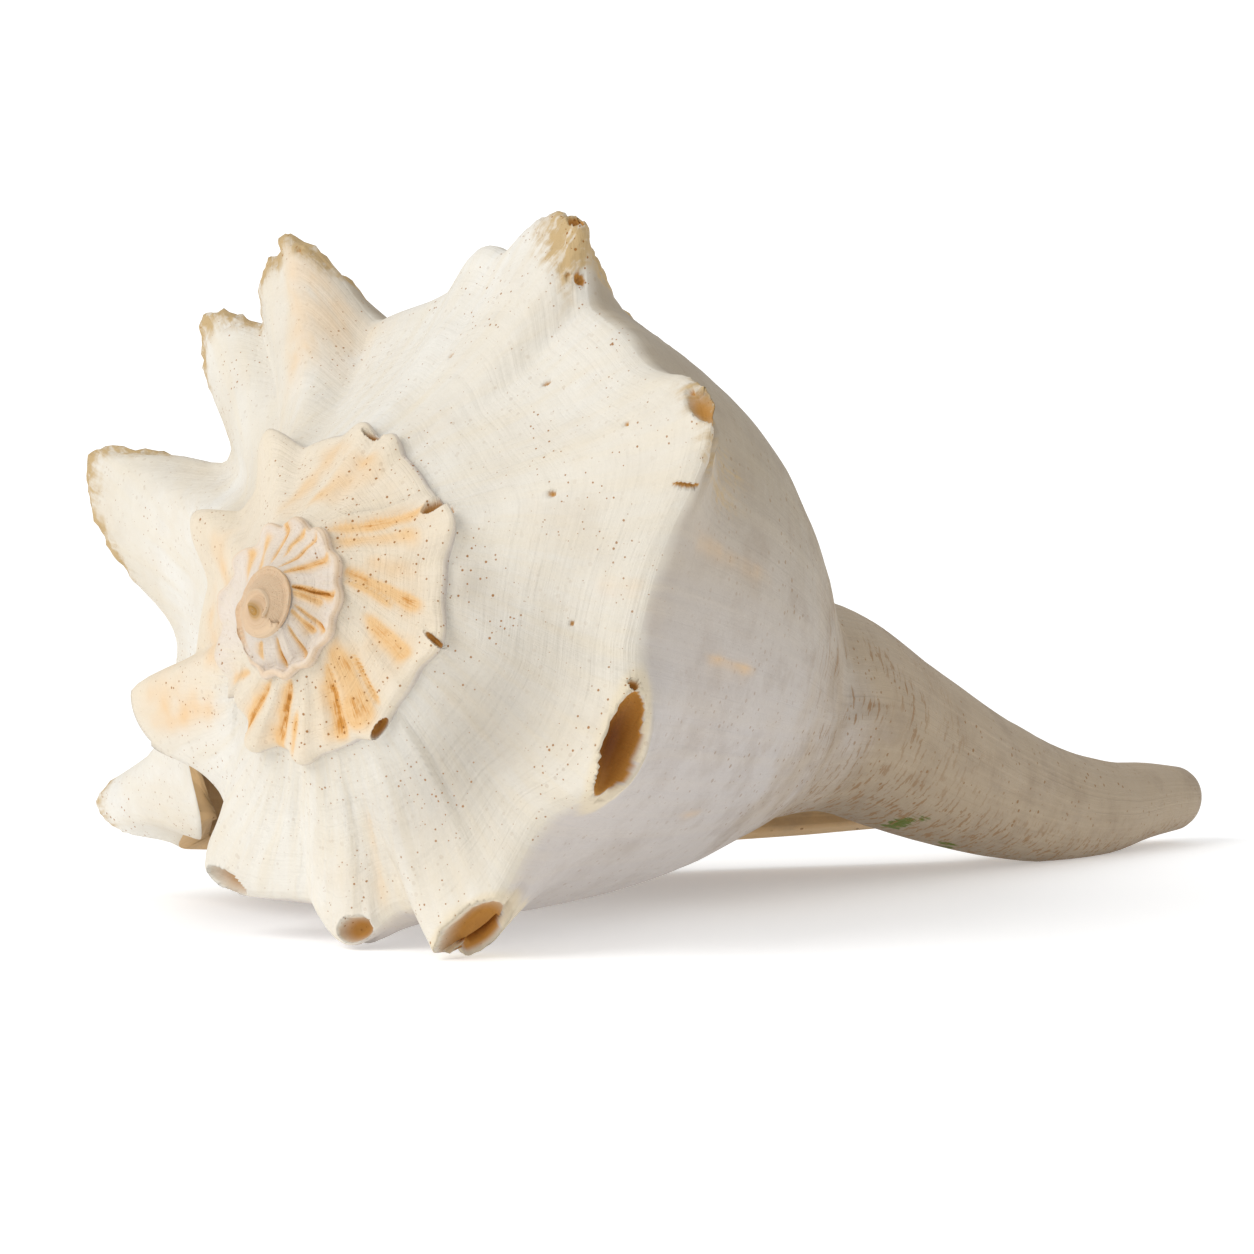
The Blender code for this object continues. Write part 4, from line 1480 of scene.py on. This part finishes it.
    def relief(self, skin: Skin, ridges: tuple[NodeSocket, ...], pores: NodeSocket) -> NodeSocket:
        """Growth ridges, silky fine lines, spiral cords, chalky grain and sunken pores as bump.

        Args:
            skin: What the finish reads.
            ridges: Growth lines, fine growth lines and spiral cords.
            pores: The pore pattern.

        Returns:
            The normal socket.
        """
        add = partial(add_node, skin.tree)
        chalk = add("TexNoise", {"Vector": skin.where, "Scale": 1500.0, "Detail": 2.0})
        hollow = add("Math", (1.0, pores), operation="SUBTRACT")
        uneven = add("TexNoise", {"Vector": skin.where, "Scale": 330.0, "Detail": 5.0})
        strengths_depths = ((0.5, 0.35), (0.35, 0.12), (0.5, 0.3), (0.5, 0.5), (0.3, 0.09), (0.3, 0.1))
        inputs = {}
        for height, (strength, depth) in zip((*ridges, uneven, chalk, hollow), strengths_depths):
            inputs |= {"Height": height, "Strength": strength, "Distance": depth * MM}
            inputs["Normal"] = add("Bump", inputs)
        return inputs["Normal"]


@dataclass
class Studio:
    """A white table, one large soft light from the left and a camera close to table height."""

    camera_place: tuple[float, float, float] = (-0.345755, -0.291186, 0.046551)
    camera_turn: tuple[float, float, float] = (88.333, 0.120, -48.351)
    lens: float = 100.478
    sensor: float = 36.0
    key_turn: tuple[float, float, float] = (55.0, 0.0, -107.0)
    key_strength: float = 1.45
    key_spread: float = 42.0
    sky_strength: float = 0.66
    sky_seen: float = 1.2
    table_half: float = 40.0
    table_white: float = 0.92
    table_glow: float = 0.31

    def build(self) -> None:
        """Set the table, the light and the camera."""
        self.add_table()
        self.add_light()
        self.add_camera()

    def add_table(self) -> None:
        """Lay a white tabletop far past the view."""
        bm = bmesh.new()
        bmesh.ops.create_grid(bm, x_segments=1, y_segments=1, size=self.table_half)
        mesh = bpy.data.meshes.new("tabletop")
        bm.to_mesh(mesh)
        bm.free()
        table = add_object("tabletop", mesh)
        material = bpy.data.materials.new("white_paper_sweep")
        material.use_nodes = True
        shader = material.node_tree.nodes["Principled BSDF"]
        shader.inputs["Base Color"].default_value = (*[self.table_white] * 3, 1.0)
        shader.inputs["Roughness"].default_value = 0.9
        shader.inputs["Specular IOR Level"].default_value = 0.0
        shader.inputs["Emission Color"].default_value = (1.0, 1.0, 1.0, 1.0)
        shader.inputs["Emission Strength"].default_value = self.table_glow
        mesh.materials.append(material)

    def add_light(self) -> None:
        """Light the shell with a wide sun and a white surround."""
        lamp = bpy.data.lights.new("key", "SUN")
        lamp.energy = self.key_strength
        lamp.angle = math.radians(self.key_spread)
        key = add_object("key", lamp)
        key.rotation_euler = tuple(math.radians(angle) for angle in self.key_turn)
        world = bpy.data.worlds.new("white_surround")
        world.use_nodes = True
        tree = world.node_tree
        seen = add_node(tree, "LightPath", (), "Is Camera Ray")
        glow = add_node(tree, "Mix", {0: seen, 2: self.sky_strength, 3: self.sky_seen})
        back = tree.nodes["Background"]
        tree.links.new(glow, back.inputs["Strength"])
        back.inputs["Color"].default_value = (1.0, 1.0, 1.0, 1.0)
        bpy.context.scene.world = world
        bpy.context.scene.view_settings.view_transform = "Standard"

    def add_camera(self) -> None:
        """Stand the camera in front of the spire, a little above the table."""
        data = bpy.data.cameras.new("camera")
        data.lens = self.lens
        data.sensor_width = self.sensor
        data.clip_start = 0.01
        camera = add_object("camera", data)
        camera.location = self.camera_place
        camera.rotation_euler = tuple(math.radians(angle) for angle in self.camera_turn)
        bpy.context.scene.camera = camera


def main() -> None:
    """Build the shell, dress it and set the studio."""
    logging.basicConfig(level=logging.INFO, format="%(message)s")
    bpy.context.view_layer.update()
    shell = WhelkShell().build()
    shell.data.materials.append(WeatheredShell().material())
    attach(shell, "root")
    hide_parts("shell")
    LOG.info("shell: %d faces", len(shell.data.polygons))
    Studio().build()


if __name__ == "__main__":
    main()
